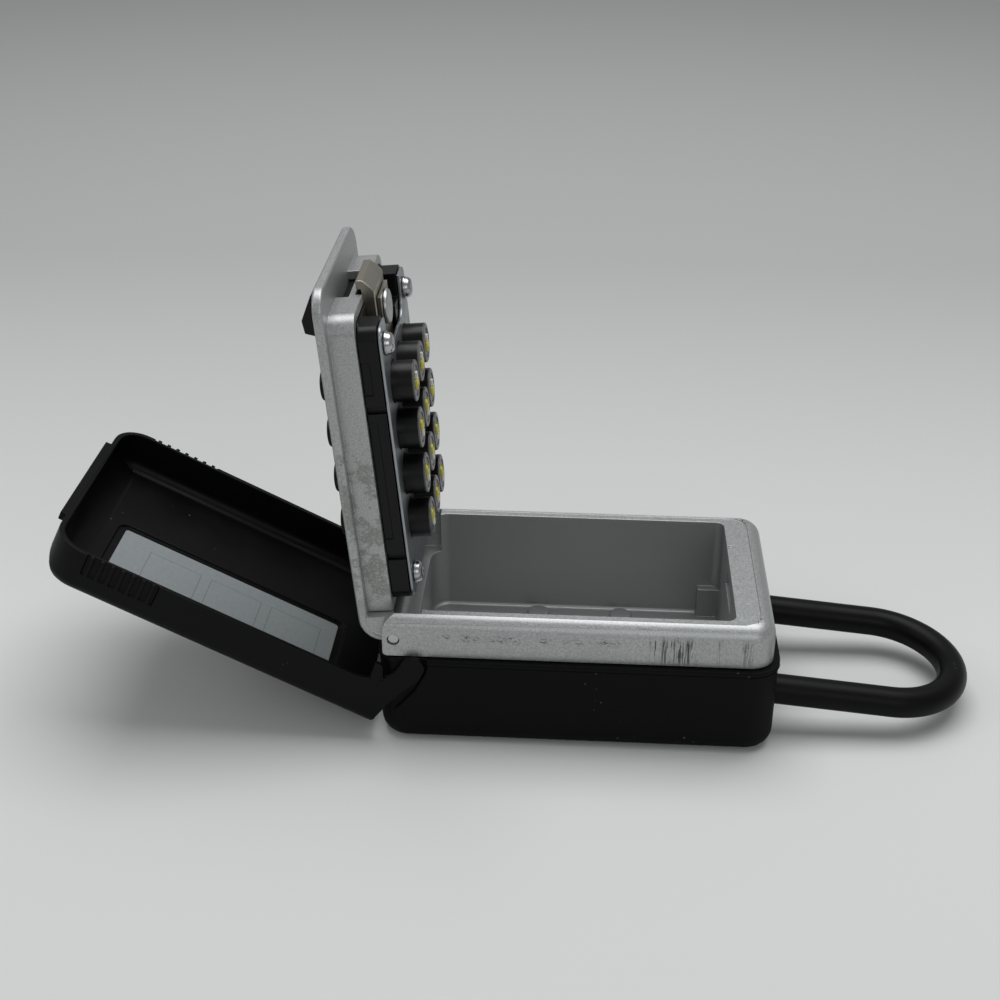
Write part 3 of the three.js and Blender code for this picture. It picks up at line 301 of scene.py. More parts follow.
@named
class ShackleSizes(bpy.types.PropertyGroup):
    lean: degrees(5.5, "How far the shackle leans down")
    height: size(13.1, "Height of the legs at the body's end")
    half_spacing: size(20.4, "Half the distance between the legs")
    reach: size(59.1, "Body's end to the outside of the bend")
    core: size(3.3, "Radius of the steel rod")
    sleeve: size(4.2, "Radius over the vinyl sleeve")
    sleeve_gap: size(0.4, "How far the sleeve reaches into the jacket")
    long_leg: size(21, "Length of the near leg inside the body")
    short_leg: size(9, "Length of the far leg inside the body")
    latch_back: size(13.4, "Shackle latch from the body's end")
    latch_thickness: size(2, "Thickness of the shackle latch")
    latch_bite: size(0.6, "How deep the latch bites into the rod")
    latch_travel: size(3, "How far the latch slides")
    latch_rail: size(1.6, "Width of the latch beside its window")
    latch_half_height: size(4.5, "Half the height of the latch")
    notch_play: size(3.2, "Length of the notch past the latch")
    spring_radius: size(1.2, "Radius of the latch's spring")
    spring_pocket: size(2.1, "Depth of the spring's pocket")


@named
class CoverSizes(bpy.types.PropertyGroup):
    pivot_x: size(8.15, "Cover's pivot from the hinge end")
    pivot_z: size(24.4, "Height of the cover's pivot")
    open_angle: degrees(153, "How far the cover hangs open")
    edge_above: size(6.9, "Cover's edge above the jacket when shut")
    side_gap: size(0.7, "Play between the cover and the band")
    end_gap: size(1.7, "Play between the cover and the shackle end")
    wall: size(1.5, "Thickness of the cover's walls")
    corner: size(9, "Corner radius seen from above")
    long_edge: size(3.4, "Rounding along the cover's top")
    nose: size(8, "Rounding of the free end's top")
    inner_edge: size(3.2, "Rounding along the inside of the cover's face")
    inner_nose: size(8.4, "Rounding inside the free end")
    lever_gap: size(0.45, "Play over the thumb levers")
    floor: size(1.4, "Thickness of the cover's face")
    floor_start: size(12.6, "Where the cover's face begins")
    arm_radius: size(3.3, "Rounding of the arms at the pivot")
    arm_blend: size(13, "How far an arm sweeps up to the edge")
    heel_x: size(10, "Where the cover's heel stands")
    heel_drop: size(3.2, "Rounding of the cover's heel")
    web_reach: size(3.2, "How far the arms' webs reach out from the band's end")
    web_low: size(20, "Lower edge of the arms' webs")
    web_high: size(25, "Upper edge of the arms' webs")
    pip_radius: size(1.5, "Radius of the pivot pips")
    pip_length: size(1.1, "Length of the pivot pips")
    rib_count: number(7, "Ribs on each side of the free end")
    rib_pitch: size(2.88, "Distance between grip ribs")
    rib_width: size(1.1, "Width of a grip rib")
    rib_proud: size(0.35, "How far a grip rib stands out")
    rib_length: size(6.5, "Length of a grip rib")
    rib_from_end: size(11.9, "First grip rib from the free end")
    grip_depth: size(0.6, "Depth of the panel round the ribs")
    catch_half: size(21, "Half the width of the finger lip")
    catch_proud: size(1.6, "How far the finger lip stands out")
    catch_height: size(2.6, "Height of the finger lip")
    label_start: size(26.4, "Where the bare card begins")
    label_length: size(66.8, "Length of the bare card")
    label_width: size(26.5, "Width of the bare card")
    label_far: size(1.8, "Far edge of the card from the middle")
    label_thickness: size(0.25, "Thickness of the card")
    label_corner: size(1, "Corner radius of the card")
    label_margin: size(2.2, "Width of the recess round the card")
    recess: size(0.7, "Depth of the recess round the card")
    frame_line: size(0.16, "Line width of the card's frames")
    frame_blur: size(0.05, "Blur of the frames' lines")


@named
class Fits(bpy.types.PropertyGroup):
    seat: size(0.25, "Play between pieces that sit on each other")
    run: size(0.3, "Play between pieces that move")
    over: size(2, "How far a cut reaches past its face")
    fine: size(0.2, "Rounding of small machined and moulded edges")
    moulded_edge: size(0.3, "Rounding of the levers and the cover")
    bolt_edge: size(0.28, "Rounding of the bolt")
    arrow_edge: size(0.16, "Rounding of the arrows")
    plate_edge: size(0.14, "Rounding of the back plate")
    screw_edge: size(0.1, "Rounding of the screws")
    card_edge: size(0.06, "Rounding of the card")
    wear: size(1, "Depth over which paint marks fade")


@named
class Colours(bpy.types.PropertyGroup):
    silver: colour(0.40, 0.41, 0.41, "Paint of the vault and lid")
    scuff: colour(0.03, 0.032, 0.034, "Dark scuffs on the paint")
    stain: colour(0.17, 0.165, 0.145, "Stains on the lid's edge")
    rubber: colour(0.0022, 0.0022, 0.0023, "Soft jacket")
    plastic: colour(0.0018, 0.0018, 0.0019, "Moulded dust cover")
    case: colour(0.0032, 0.0032, 0.0034, "Case, buttons and levers")
    worn: colour(0.105, 0.105, 0.103, "Ends of the towers")
    vinyl: colour(0.0016, 0.0016, 0.0017, "Sleeve of the shackle")
    dust: colour(0.16, 0.16, 0.155, "Dust specks on the black pieces")
    zinc: colour(0.36, 0.38, 0.39, "Back plate of the lock")
    bright: colour(0.5, 0.51, 0.52, "Bright plated screws")
    nickel: colour(0.42, 0.39, 0.33, "Bolt and gate plate")
    steel: colour(0.5, 0.5, 0.5, "Pins, rods, rivet and springs")
    yellow: colour(0.62, 0.58, 0.09, "Arrows of the code shafts")
    pale: colour(0.72, 0.71, 0.62, "Pale tail of the arrows")
    shaft: colour(0.16, 0.165, 0.17, "Ends of the code shafts")
    card: colour(0.23, 0.255, 0.262, "Bare card in the cover")
    ink: colour(0.05, 0.055, 0.06, "Plain frames on the card")
    floor_near: colour(0.62, 0.63, 0.62, "Floor under the key box")
    floor_far: colour(0.38, 0.39, 0.385, "Floor far behind the key box")
    sky: colour(0.92, 0.94, 0.95, "Even light all round")


@named
class StageSizes(bpy.types.PropertyGroup):
    camera_x: size(-0.15, "Camera along X from the middle, negative to the left")
    camera_y: size(-366.99, "Camera along Y from the middle, negative in front")
    camera_z: size(259.65, "Height of the camera")
    camera_turn: degrees(3.54, "Camera's turn to the left")
    camera_dip: degrees(28.71, "How far the camera looks down")
    camera_roll: degrees(0.12, "Camera's roll")
    floor_reach: size(3000, "Middle to the floor's edges")
    shade_start: size(30, "Where the floor starts to darken behind the key box")
    shade_end: size(360, "Where the floor is darkest")


GROUPS = {
    "keybox_vault": VaultSizes,
    "keybox_jacket": JacketSizes,
    "keybox_lid": LidSizes,
    "keybox_lock": LockSizes,
    "keybox_latch": LatchSizes,
    "keybox_shackle": ShackleSizes,
    "keybox_cover": CoverSizes,
    "keybox_fits": Fits,
    "keybox_colours": Colours,
    "keybox_stage": StageSizes,
}


class Levels:
    """The sizes set in the panel, with the levels and places that follow from them."""

    def __init__(self, scene):
        for name in GROUPS:
            setattr(self, name.removeprefix("keybox_"), getattr(scene, name))
        vault, jacket, lid, lock = self.vault, self.jacket, self.lid, self.lock
        fits, latch, cover = self.fits, self.latch, self.cover
        self.rim = jacket.height + vault.band_height
        self.half = vault.width / 2
        self.lid_half = self.half - vault.lip_width - lid.side_gap
        self.cavity_half = self.half - vault.lip_width - vault.ledge_width
        self.cavity_end = vault.length - vault.end_lip - vault.end_ledge
        self.ledge = self.rim - vault.ledge_drop
        self.pin_height = self.rim - lid.pin_drop
        self.plate_under = lid.top - lid.plate
        self.skirt_under = self.plate_under - lid.skirt_depth
        self.case_top = self.plate_under - fits.run
        self.flange_top = self.case_top - fits.run / 2
        self.bolt_under = latch.top - latch.thickness
        self.gate_top = self.bolt_under - fits.seat
        self.gate_under = self.gate_top - latch.gate
        self.chamber_under = self.gate_top + fits.seat + lock.chamber_floor
        self.case_under = self.gate_under - fits.seat - lock.case_floor
        self.back_top = self.case_under - fits.seat
        self.back_under = self.back_top - lock.back_plate
        self.tower_under = self.back_under - lock.tower_height
        self.cover_inner_half = self.half + cover.side_gap
        self.cover_outer_half = self.cover_inner_half + cover.wall
        self.cover_edge = jacket.height + cover.edge_above
        self.cover_inside = self.pin_height + lid.top + latch.lever_proud + cover.lever_gap
        self.cover_outside = self.cover_inside + cover.floor
        self.cover_inner_end = vault.length + cover.end_gap
        self.cover_end = self.cover_inner_end + cover.wall

    def body_place(self):
        return Matrix.Translation((-self.vault.length / 2, 0, 0))

    def lid_place(self):
        shift = Matrix.Translation((self.lid.pin_back - self.vault.length / 2, 0, self.pin_height))
        return shift @ Matrix.Rotation(-self.lid.open_angle, 4, 'Y')

    def cover_place(self):
        pivot = Matrix.Translation((self.cover.pivot_x - self.vault.length / 2, 0, self.cover.pivot_z))
        shut = Matrix.Translation((-self.cover.pivot_x, 0, -self.cover.pivot_z))
        return pivot @ Matrix.Rotation(-self.cover.open_angle, 4, 'Y') @ shut

    def shackle_place(self):
        shift = Matrix.Translation((self.vault.length / 2, 0, self.shackle.height))
        return shift @ Matrix.Rotation(self.shackle.lean, 4, 'Y')

    def shackle_in_body(self):
        shift = Matrix.Translation((self.vault.length, 0, self.shackle.height))
        return shift @ Matrix.Rotation(self.shackle.lean, 4, 'Y')

    def buttons(self):
        places = []
        for row in range(self.lock.rows):
            for column in range(self.lock.columns):
                along = self.lock.first_row + row * self.lock.row_pitch
                off = (column - (self.lock.columns - 1) / 2) * self.lock.column_pitch
                count = row * self.lock.columns + column
                turned = count >= self.lock.rows * self.lock.columns - self.lock.code_length
                places.append((along, off, turned))
        return places

    def screws(self):
        across = self.latch.screw_across
        return [(along, side * across) for along in (self.latch.screw_near, self.latch.screw_far)
                for side in (-1, 1)]


# Closed forms built from points, then joined and cut

CORNER_STEPS = 10
EDGE_STEPS = 8
COIL_STEPS = 20
WIRE_SIDES = 6
ROUND_SIDES = 48
SMALL_SIDES = 24
WELD = 0.0001 * MM
TREE_WELD = 0.001 * MM
LATHE_WELD = 0.002 * MM
LEAST = 0.01 * MM


def form(points, faces):
    """Puts a closed form into the scene while it is worked on."""
    mesh = bpy.data.meshes.new("work")
    mesh.from_pydata([tuple(point) for point in points], [], faces)
    work = bmesh.new()
    work.from_mesh(mesh)
    bmesh.ops.remove_doubles(work, verts=work.verts, dist=WELD)
    bmesh.ops.dissolve_degenerate(work, edges=work.edges, dist=WELD)
    bmesh.ops.recalc_face_normals(work, faces=work.faces)
    work.to_mesh(mesh)
    work.free()
    piece = bpy.data.objects.new("work", mesh)
    bpy.context.scene.collection.objects.link(piece)
    return piece


def drop(pieces):
    for piece in pieces:
        mesh = piece.data
        bpy.data.objects.remove(piece)
        if mesh.users == 0:
            bpy.data.meshes.remove(mesh)


def plan_points(start, end, half, start_corner, end_corner=None):
    """Outline of a rounded oblong, anticlockwise from above."""
    end_corner = start_corner if end_corner is None else end_corner
    corners = [
        (end - end_corner, -half + end_corner, end_corner, -0.5),
        (end - end_corner, half - end_corner, end_corner, 0.0),
        (start + start_corner, half - start_corner, start_corner, 0.5),
        (start + start_corner, -half + start_corner, start_corner, 1.0),
    ]
    points = []
    for x, y, radius, turn in corners:
        for i in range(CORNER_STEPS + 1):
            angle = math.pi * (turn + 0.5 * i / CORNER_STEPS)
            points.append((x + radius * math.cos(angle), y + radius * math.sin(angle)))
    return points


def rings_form(rings):
    """Skins a stack of rings with the same number of points and closes both ends."""
    count = len(rings[0])
    points = [point for ring in rings for point in ring]
    faces = [tuple(reversed(range(count)))]
    for level in range(len(rings) - 1):
        for i in range(count):
            j = (i + 1) % count
            low, high = level * count, (level + 1) * count
            faces.append((low + i, low + j, high + j, high + i))
    top = (len(rings) - 1) * count
    faces.append(tuple(range(top, top + count)))
    return form(points, faces)


def slab(plan, bottom, top, low_edge=0.0, high_edge=None):
    """A rounded oblong raised from bottom to top, with its long edges rounded."""
    start, end, half, start_corner, end_corner = plan
    high_edge = low_edge if high_edge is None else high_edge
    levels = []
    for i in range(EDGE_STEPS + 1 if low_edge else 1):
        angle = 0.5 * math.pi * i / EDGE_STEPS
        levels.append((low_edge * (1 - math.sin(angle)), bottom + low_edge * (1 - math.cos(angle))))
    for i in range(EDGE_STEPS + 1 if high_edge else 1):
        angle = 0.5 * math.pi * (1 - i / EDGE_STEPS)
        levels.append((high_edge * (1 - math.sin(angle)), top - high_edge * (1 - math.cos(angle))))
    rings = []
    for inset, height in levels:
        outline = plan_points(
            start + inset, end - inset, half - inset,
            max(start_corner - inset, LEAST), max(end_corner - inset, LEAST))
        rings.append([(x, y, height) for x, y in outline])
    return rings_form(rings)


def oblong(start, end, half, start_corner, end_corner=None):
    return (start, end, half, start_corner, start_corner if end_corner is None else end_corner)


def drawn(outline, low, high, axis='Y'):
    """An outline drawn out along an axis: X and Z for Y, X and Y for Z, Y and Z for X."""
    place = {
        'Y': lambda a, b, c: (a, c, b),
        'Z': lambda a, b, c: (a, b, c),
        'X': lambda a, b, c: (c, a, b),
    }[axis]
    return rings_form([[place(a, b, c) for a, b in outline] for c in (low, high)])


def block(x0, x1, y0, y1, z0, z1):
    return drawn([(x0, y0), (x1, y0), (x1, y1), (x0, y1)], z0, z1, 'Z')


def circle(radius, x, y, sides=ROUND_SIDES):
    angles = [2 * math.pi * i / sides for i in range(sides)]
    return [(x + radius * math.cos(angle), y + radius * math.sin(angle)) for angle in angles]


def rod(radius, first, second, low, high, axis='Z', sides=ROUND_SIDES):
    """A round rod along an axis, centred on its two other coordinates."""
    return drawn(circle(radius, first, second, sides), low, high, axis)


def turned(profile, x, y):
    """Radius and height pairs turned about an upright axis."""
    return rings_form([[(*point, height) for point in circle(radius, x, y)] for radius, height in profile])


def on_side(side, near, far):
    """Two distances from the middle, as low and high on one side."""
    return sorted((side * near, side * far))


def coil(mean, wire, length, turns):
    """A wire wound round Z, from zero up to the length."""
    steps = turns * COIL_STEPS
    rings = []
    for step in range(steps + 1):
        turn = 2 * math.pi * step / COIL_STEPS
        level = wire + (length - 2 * wire) * step / steps
        ring = []
        for side in range(WIRE_SIDES):
            angle = 2 * math.pi * side / WIRE_SIDES
            reach = mean + wire * math.cos(angle)
            ring.append((reach * math.cos(turn), reach * math.sin(turn), level + wire * math.sin(angle)))
        rings.append(ring)
    return rings_form(rings)


def arc(x, z, radius, start, end, steps=CORNER_STEPS):
    """Points of an arc whose angles are given in half turns."""
    return [(x + radius * math.cos(math.pi * (start + (end - start) * i / steps)),
             z + radius * math.sin(math.pi * (start + (end - start) * i / steps))) for i in range(steps + 1)]


def curve(start, control, end, steps=CORNER_STEPS):
    points = []
    for i in range(1, steps + 1):
        t = i / steps
        points.append(tuple(
            (1 - t) ** 2 * a + 2 * t * (1 - t) * b + t ** 2 * c for a, b, c in zip(start, control, end)))
    return points


def moved(piece, matrix):
    piece.data.transform(matrix)
    return piece


def solved(piece):
    """Replaces an object's modifiers by the mesh that they give."""
    graph = bpy.context.evaluated_depsgraph_get()
    mesh = bpy.data.meshes.new_from_object(piece.evaluated_get(graph))
    piece.modifiers.clear()
    old = piece.data
    piece.data = mesh
    if old.users == 0:
        bpy.data.meshes.remove(old)
    return piece


def combine(stock, tools, operation):
    for tool in tools:
        step = stock.modifiers.new("combine", 'BOOLEAN')
        step.operation = operation
        step.solver = 'EXACT'
        step.object = tool
    solved(stock)
    drop(tools)
    return stock


def join(stock, *tools):
    return combine(stock, list(tools), 'UNION')


def cut(stock, *tools):
    return combine(stock, list(tools), 'DIFFERENCE')


def common(stock, tool):
    return combine(stock, [tool], 'INTERSECT')


def together(*pieces):
    """Several separate forms in one object."""
    work = bmesh.new()
    for piece in pieces:
        work.from_mesh(piece.data)
    mesh = bpy.data.meshes.new("work")
    work.to_mesh(mesh)
    work.free()
    drop(pieces)
    whole = bpy.data.objects.new("work", mesh)
    bpy.context.scene.collection.objects.link(whole)
    return whole


def soften(piece, width, segments=3, limit=32):
    """Rounds every edge sharper than the limit and draws stray corners back to the form."""
    step = piece.modifiers.new("soften", 'BEVEL')
    step.width = width
    step.segments = segments
    step.limit_method = 'ANGLE'
    step.angle_limit = math.radians(limit)
    step.use_clamp_overlap = False
    step.miter_outer = 'MITER_ARC'
    work = bmesh.new()
    work.from_mesh(piece.data)
    surface = BVHTree.FromBMesh(work)
    work.free()
    corners = [tuple(corner.co) for corner in piece.data.vertices]
    box = [(min(values), max(values)) for values in zip(*corners)]
    solved(piece)
    for corner in piece.data.vertices:
        nearest, _, _, distance = surface.find_nearest(corner.co)
        if distance > width / 2:
            corner.co = nearest
        corner.co = [min(max(value, least), most) for value, (least, most) in zip(corner.co, box)]
    return piece


def shaded(piece, angle):
    """Smooth shading that keeps flat faces flat."""
    piece.data.shade_smooth()
    piece.data.set_sharp_from_angle(angle=math.radians(angle))
    step = piece.modifiers.new("weights", 'WEIGHTED_NORMAL')
    step.keep_sharp = True
    return solved(piece)


def place(piece, name, matrix, finish, body, slot, *nodes, edge=0.0, steps=3, limit=32, smooth=38):
    """Rounds and shades a form, moves its mesh to its place and tells the frame what it stands for."""
    if edge:
        soften(piece, edge, steps, limit)
    shaded(piece, smooth)
    mesh = piece.data
    mesh.transform(matrix)
    piece.name = name
    mesh.name = name
    mesh.materials.clear()
    mesh.materials.append(FINISHES[finish])
    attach(piece, body)
    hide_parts(*nodes)


# Node trees for what repeats or follows a rule

class Nodes:
    """Adds nodes to a tree and sets or links their inputs."""

    def node(self, kind, settings=None, **values):
        node = self.tree.nodes.new(kind)
        for key, value in (settings or {}).items():
            setattr(node, key, value)
        for key, value in values.items():
            self.put(node.inputs[key.replace("_", " ")], value)
        return node

    def put(self, socket, value):
        if isinstance(value, Number):
            value = value.socket
        if isinstance(value, bpy.types.NodeSocket):
            self.tree.links.new(value, socket)
        else:
            socket.default_value = value


def number_step(operation, swapped=False):
    """A method that adds one node for a sum, with its two inputs swapped if asked."""
    def step(self, other=0.0):
        node = self.tree.nodes.new('ShaderNodeMath')
        node.operation = operation
        for socket, value in zip(node.inputs, (other, self) if swapped else (self, other)):
            if isinstance(value, Number):
                self.tree.links.new(value.socket, socket)
            else:
                socket.default_value = value
        return Number(self.tree, node.outputs[0])
    return step


class Number:
    """A length or count in a node tree, so that sums of sizes read as sums."""

    def __init__(self, tree, socket):
        self.tree = tree
        self.socket = socket

    __add__ = number_step('ADD')
    __radd__ = number_step('ADD', True)
    __sub__ = number_step('SUBTRACT')
    __rsub__ = number_step('SUBTRACT', True)
    __mul__ = number_step('MULTIPLY')
    __rmul__ = number_step('MULTIPLY', True)
    __truediv__ = number_step('DIVIDE')
    sine = number_step('SINE')
    cosine = number_step('COSINE')
    at_least = number_step('MAXIMUM')
    at_most = number_step('MINIMUM')


class Tree(Nodes):
    """A geometry node tree with named inputs for its sizes."""

    def __init__(self, name, sizes, finish):
        self.tree = bpy.data.node_groups.new(name, 'GeometryNodeTree')
        self.finish = FINISHES[finish]
        self.sizes = sizes
        self.tree.interface.new_socket(name="Geometry", in_out='OUTPUT', socket_type='NodeSocketGeometry')
        self.identifiers = {}
        for label, default in sizes.items():
            kind = 'NodeSocketInt' if isinstance(default, int) else 'NodeSocketFloat'
            socket = self.tree.interface.new_socket(name=label, in_out='INPUT', socket_type=kind)
            socket.default_value = default
            self.identifiers[label] = socket.identifier
        self.entry = self.tree.nodes.new('NodeGroupInput')

    def size(self, label):
        return Number(self.tree, self.entry.outputs[label])

    def vector(self, x=0.0, y=0.0, z=0.0):
        return self.node('ShaderNodeCombineXYZ', X=x, Y=y, Z=z).outputs[0]

    def joined(self, parts):
        node = self.tree.nodes.new('GeometryNodeJoinGeometry')
        for part in reversed(parts):
            self.tree.links.new(part, node.inputs[0])
        return node.outputs[0]

    def line(self, start, end):
        return self.node(
            'GeometryNodeCurvePrimitiveLine', Start=self.vector(*start), End=self.vector(*end)).outputs[0]

    def bend(self, start, middle, end, steps=6):
        return self.node(
            'GeometryNodeCurveQuadraticBezier', Resolution=steps, Start=self.vector(*start),
            Middle=self.vector(*middle), End=self.vector(*end)).outputs[0]

    def lathe(self, radius, strokes, sides=ROUND_SIDES):
        """Turns strokes about an upright axis: across is outwards from the given radius."""
        ring = self.node(
            'GeometryNodeCurvePrimitiveCircle', {'mode': 'RADIUS'}, Resolution=sides, Radius=radius)
        upright = self.node(
            'GeometryNodeTransform', Geometry=self.joined(strokes), Scale=self.vector(1.0, -1.0, 1.0))
        skin = self.node('GeometryNodeCurveToMesh', Curve=ring.outputs[0], Profile_Curve=upright.outputs[0])
        merged = self.node('GeometryNodeMergeByDistance', Geometry=skin.outputs[0], Distance=LATHE_WELD)
        return self.node('GeometryNodeFlipFaces', Mesh=merged.outputs[0]).outputs[0]

    def shifted(self, geometry, x=0.0, y=0.0, z=0.0):
        return self.node(
            'GeometryNodeTransform', Geometry=geometry, Translation=self.vector(x, y, z)).outputs[0]

    def on_grid(self, geometry, columns, rows, width, height):
        """Copies a shape onto a grid of points: rows along X, columns along Y."""
        grid = self.node(
            'GeometryNodeMeshGrid', Size_X=width, Size_Y=height, Vertices_X=columns, Vertices_Y=rows)
        copies = self.node('GeometryNodeInstanceOnPoints', Points=grid.outputs[0], Instance=geometry)
        return copies.outputs[0]

    def close(self, geometry):
        real = self.node('GeometryNodeRealizeInstances', Geometry=geometry)
        painted = self.node('GeometryNodeSetMaterial', Geometry=real.outputs[0])
        painted.inputs['Material'].default_value = self.finish
        self.tree.links.new(painted.outputs[0], self.tree.nodes.new('NodeGroupOutput').inputs[0])

    def grow(self, **changes):
        """Runs the tree once with its sizes, changed where given, and gives back a plain form."""
        mesh = bpy.data.meshes.new("work")
        piece = bpy.data.objects.new("work", mesh)
        bpy.context.scene.collection.objects.link(piece)
        step = piece.modifiers.new(self.tree.name, 'NODES')
        step.node_group = self.tree
        for label, value in {**self.sizes, **changes}.items():
            step[self.identifiers[label]] = value
        solved(piece)
        work = bmesh.new()
        work.from_mesh(piece.data)
        bmesh.ops.remove_doubles(work, verts=work.verts, dist=TREE_WELD)
        bmesh.ops.recalc_face_normals(work, faces=work.faces)
        work.to_mesh(piece.data)
        work.free()
        return piece


# Finishes

FLAKE_DEPTH = 0.05 * MM
CLOUD_DEPTH = 0.3 * MM
GRAIN_DEPTH = 0.06 * MM
BRUSH_DEPTH = 0.02 * MM
PAINT_DEPTH = 0.04 * MM
PAPER_DEPTH = 0.03 * MM


class Finish(Nodes):
    """A procedural material built one step at a time on Object coordinates."""

    def __init__(self, name):
        self.material = bpy.data.materials.new(name)
        self.material.use_nodes = True
        self.tree = self.material.node_tree
        self.shader = self.tree.nodes['Principled BSDF']
        self.place = self.tree.nodes.new('ShaderNodeTexCoord').outputs['Object']

    def stretched(self, x, y, z):
        return self.node('ShaderNodeMapping', Vector=self.place, Scale=(x, y, z)).outputs[0]

    def within_frame(self, matrix):
        """Object coordinates read in the frame that a matrix places."""
        back = matrix.inverted()
        return self.node(
            'ShaderNodeMapping', Vector=self.place, Location=back.translation,
            Rotation=back.to_euler()).outputs[0]

    def noise(self, scale, detail=2.0, roughness=0.5, vector=None):
        return self.node(
            'ShaderNodeTexNoise', Vector=vector or self.place, Scale=scale, Detail=detail,
            Roughness=roughness).outputs['Fac']

    def cells(self, scale):
        return self.node('ShaderNodeTexVoronoi', Vector=self.place, Scale=scale).outputs['Distance']

    def span(self, value, low, high, to_low=0.0, to_high=1.0):
        return self.node(
            'ShaderNodeMapRange', Value=value, From_Min=low, From_Max=high, To_Min=to_low,
            To_Max=to_high).outputs[0]

    def sum(self, operation, first, second=0.0):
        node = self.node('ShaderNodeMath', {'operation': operation, 'use_clamp': operation == 'MULTIPLY'})
        self.put(node.inputs[0], first)
        self.put(node.inputs[1], second)
        return node.outputs[0]

    def both(self, *masks):
        whole = masks[0]
        for mask in masks[1:]:
            whole = self.sum('MULTIPLY', whole, mask)
        return whole

    def axis(self, name, turned=None):
        split = self.node('ShaderNodeSeparateXYZ', Vector=turned or self.place)
        return split.outputs[name]

    def within(self, value, low, high, blur):
        """One between two places and zero outside them, with blurred ends."""
        rising = self.span(value, low - blur, low + blur)
        falling = self.span(value, high + blur, high - blur)
        return self.both(rising, falling)

    def mixed(self, factor, first, second):
        node = self.node('ShaderNodeMix', {'data_type': 'RGBA'})
        self.put(node.inputs[0], factor)
        self.put(node.inputs[6], first)
        self.put(node.inputs[7], second)
        return node.outputs[2]

    def bump(self, height, strength, distance, normal=None):
        node = self.node('ShaderNodeBump', Height=height, Strength=strength, Distance=distance)
        if normal is not None:
            self.put(node.inputs['Normal'], normal)
        return node.outputs[0]

    def set(self, **values):
        for key, value in values.items():
            self.put(self.shader.inputs[key.replace("_", " ")], value)
        return self.material


def shade(tone, factor):
    return (tone[0] * factor, tone[1] * factor, tone[2] * factor, 1.0)


def silver_paint(name, levels, scuffs=False, stains=False):
    """Fine-flaked silver paint, with the scuffs of the band or the stains of the lid's edge."""
    tone, wear = tuple(levels.colours.silver), levels.fits.wear
    finish = Finish(name)
    flakes = finish.noise(2300, 2, 0.75)
    specks = finish.noise(1700, 3, 0.8)
    cloud = finish.noise(55, 3, 0.6)
    base = finish.mixed(finish.span(flakes, 0.32, 0.68), shade(tone, 0.76), shade(tone, 1.25))
    base = finish.mixed(finish.span(specks, 0.62, 0.7, 0.0, 0.4), base, shade(tone, 0.35))
    base = finish.mixed(finish.span(cloud, 0.35, 0.7, 0.0, 0.22), base, shade(tone, 0.82))
    rough = finish.span(flakes, 0.25, 0.75, 0.34, 0.5)
    if scuffs:
        half, vault = levels.half, levels.vault
        x, y, z = finish.axis('X'), finish.axis('Y'), finish.axis('Z')
        wall = levels.cavity_half + wear
        inside = finish.both(finish.within(y, -wall, wall, wear / 2),
                             finish.span(z, levels.ledge - wear / 4, levels.ledge - wear))
        base = finish.mixed(finish.both(inside, 0.8), base, shade(tone, 0.93))
        side = finish.span(y, -half + vault.scuff_deep, -half + vault.scuff_near)
        streaks = finish.noise(1.0, 3, 0.7, finish.stretched(1700, 900, 70))
        crowd = finish.noise(1.0, 1, 0.5, finish.stretched(300, 1, 1))
        dense = finish.both(
            finish.within(x, vault.scuff_start, vault.scuff_thin, wear), finish.span(crowd, 0.34, 0.44))
        sparse = finish.both(
            finish.within(x, vault.scuff_thin, vault.scuff_end, wear), finish.span(crowd, 0.5, 0.6), 0.75)
        tall = finish.within(z, vault.scuff_low, vault.scuff_high, wear)
        marks = finish.both(
            side, tall, finish.sum('ADD', dense, sparse), finish.span(streaks, 0.5, 0.56), 0.9)
        flecks = finish.noise(1.0, 3, 0.8, finish.stretched(900, 900, 1800))
        groups = finish.noise(1.0, 1, 0.5, finish.stretched(130, 1, 1))
        along = finish.within(x, vault.fleck_start, vault.fleck_end, wear)
        low, high = vault.fleck_level - vault.fleck_reach, vault.fleck_level + vault.fleck_reach
        row = finish.within(z, low, high, vault.fleck_reach / 2)
        dots = finish.both(
            side, along, row, finish.span(groups, 0.44, 0.52), finish.span(flecks, 0.53, 0.6), 0.85)
        base = finish.mixed(marks, base, tuple(levels.colours.scuff))
        base = finish.mixed(dots, base, tuple(levels.colours.scuff))
    if stains:
        blotch = finish.noise(170, 5, 0.75)
        fine = finish.noise(1300, 3, 0.7)
        local, lid = finish.within_frame(levels.lid_place()), levels.lid
        side = finish.span(
            finish.axis('Y', local), -lid.skirt_half + lid.stain_deep, -lid.skirt_half + wear)
        zone = finish.within(finish.axis('X', local), lid.stain_start, lid.stain_end, lid.stain_blur)
        below = finish.span(finish.axis('Z', local), lid.top, lid.top - wear)
        patches = finish.both(
            side, zone, below, finish.span(blotch, 0.48, 0.52), finish.span(fine, 0.25, 0.55), 0.55)
        base = finish.mixed(patches, base, tuple(levels.colours.stain))
        rough = finish.sum('ADD', rough, finish.sum('MULTIPLY', patches, 0.18))
    normal = finish.bump(flakes, 0.12, FLAKE_DEPTH)
    normal = finish.bump(cloud, 0.05, CLOUD_DEPTH, normal)
    return finish.set(Base_Color=base, Metallic=0.72, Roughness=rough, Normal=normal)


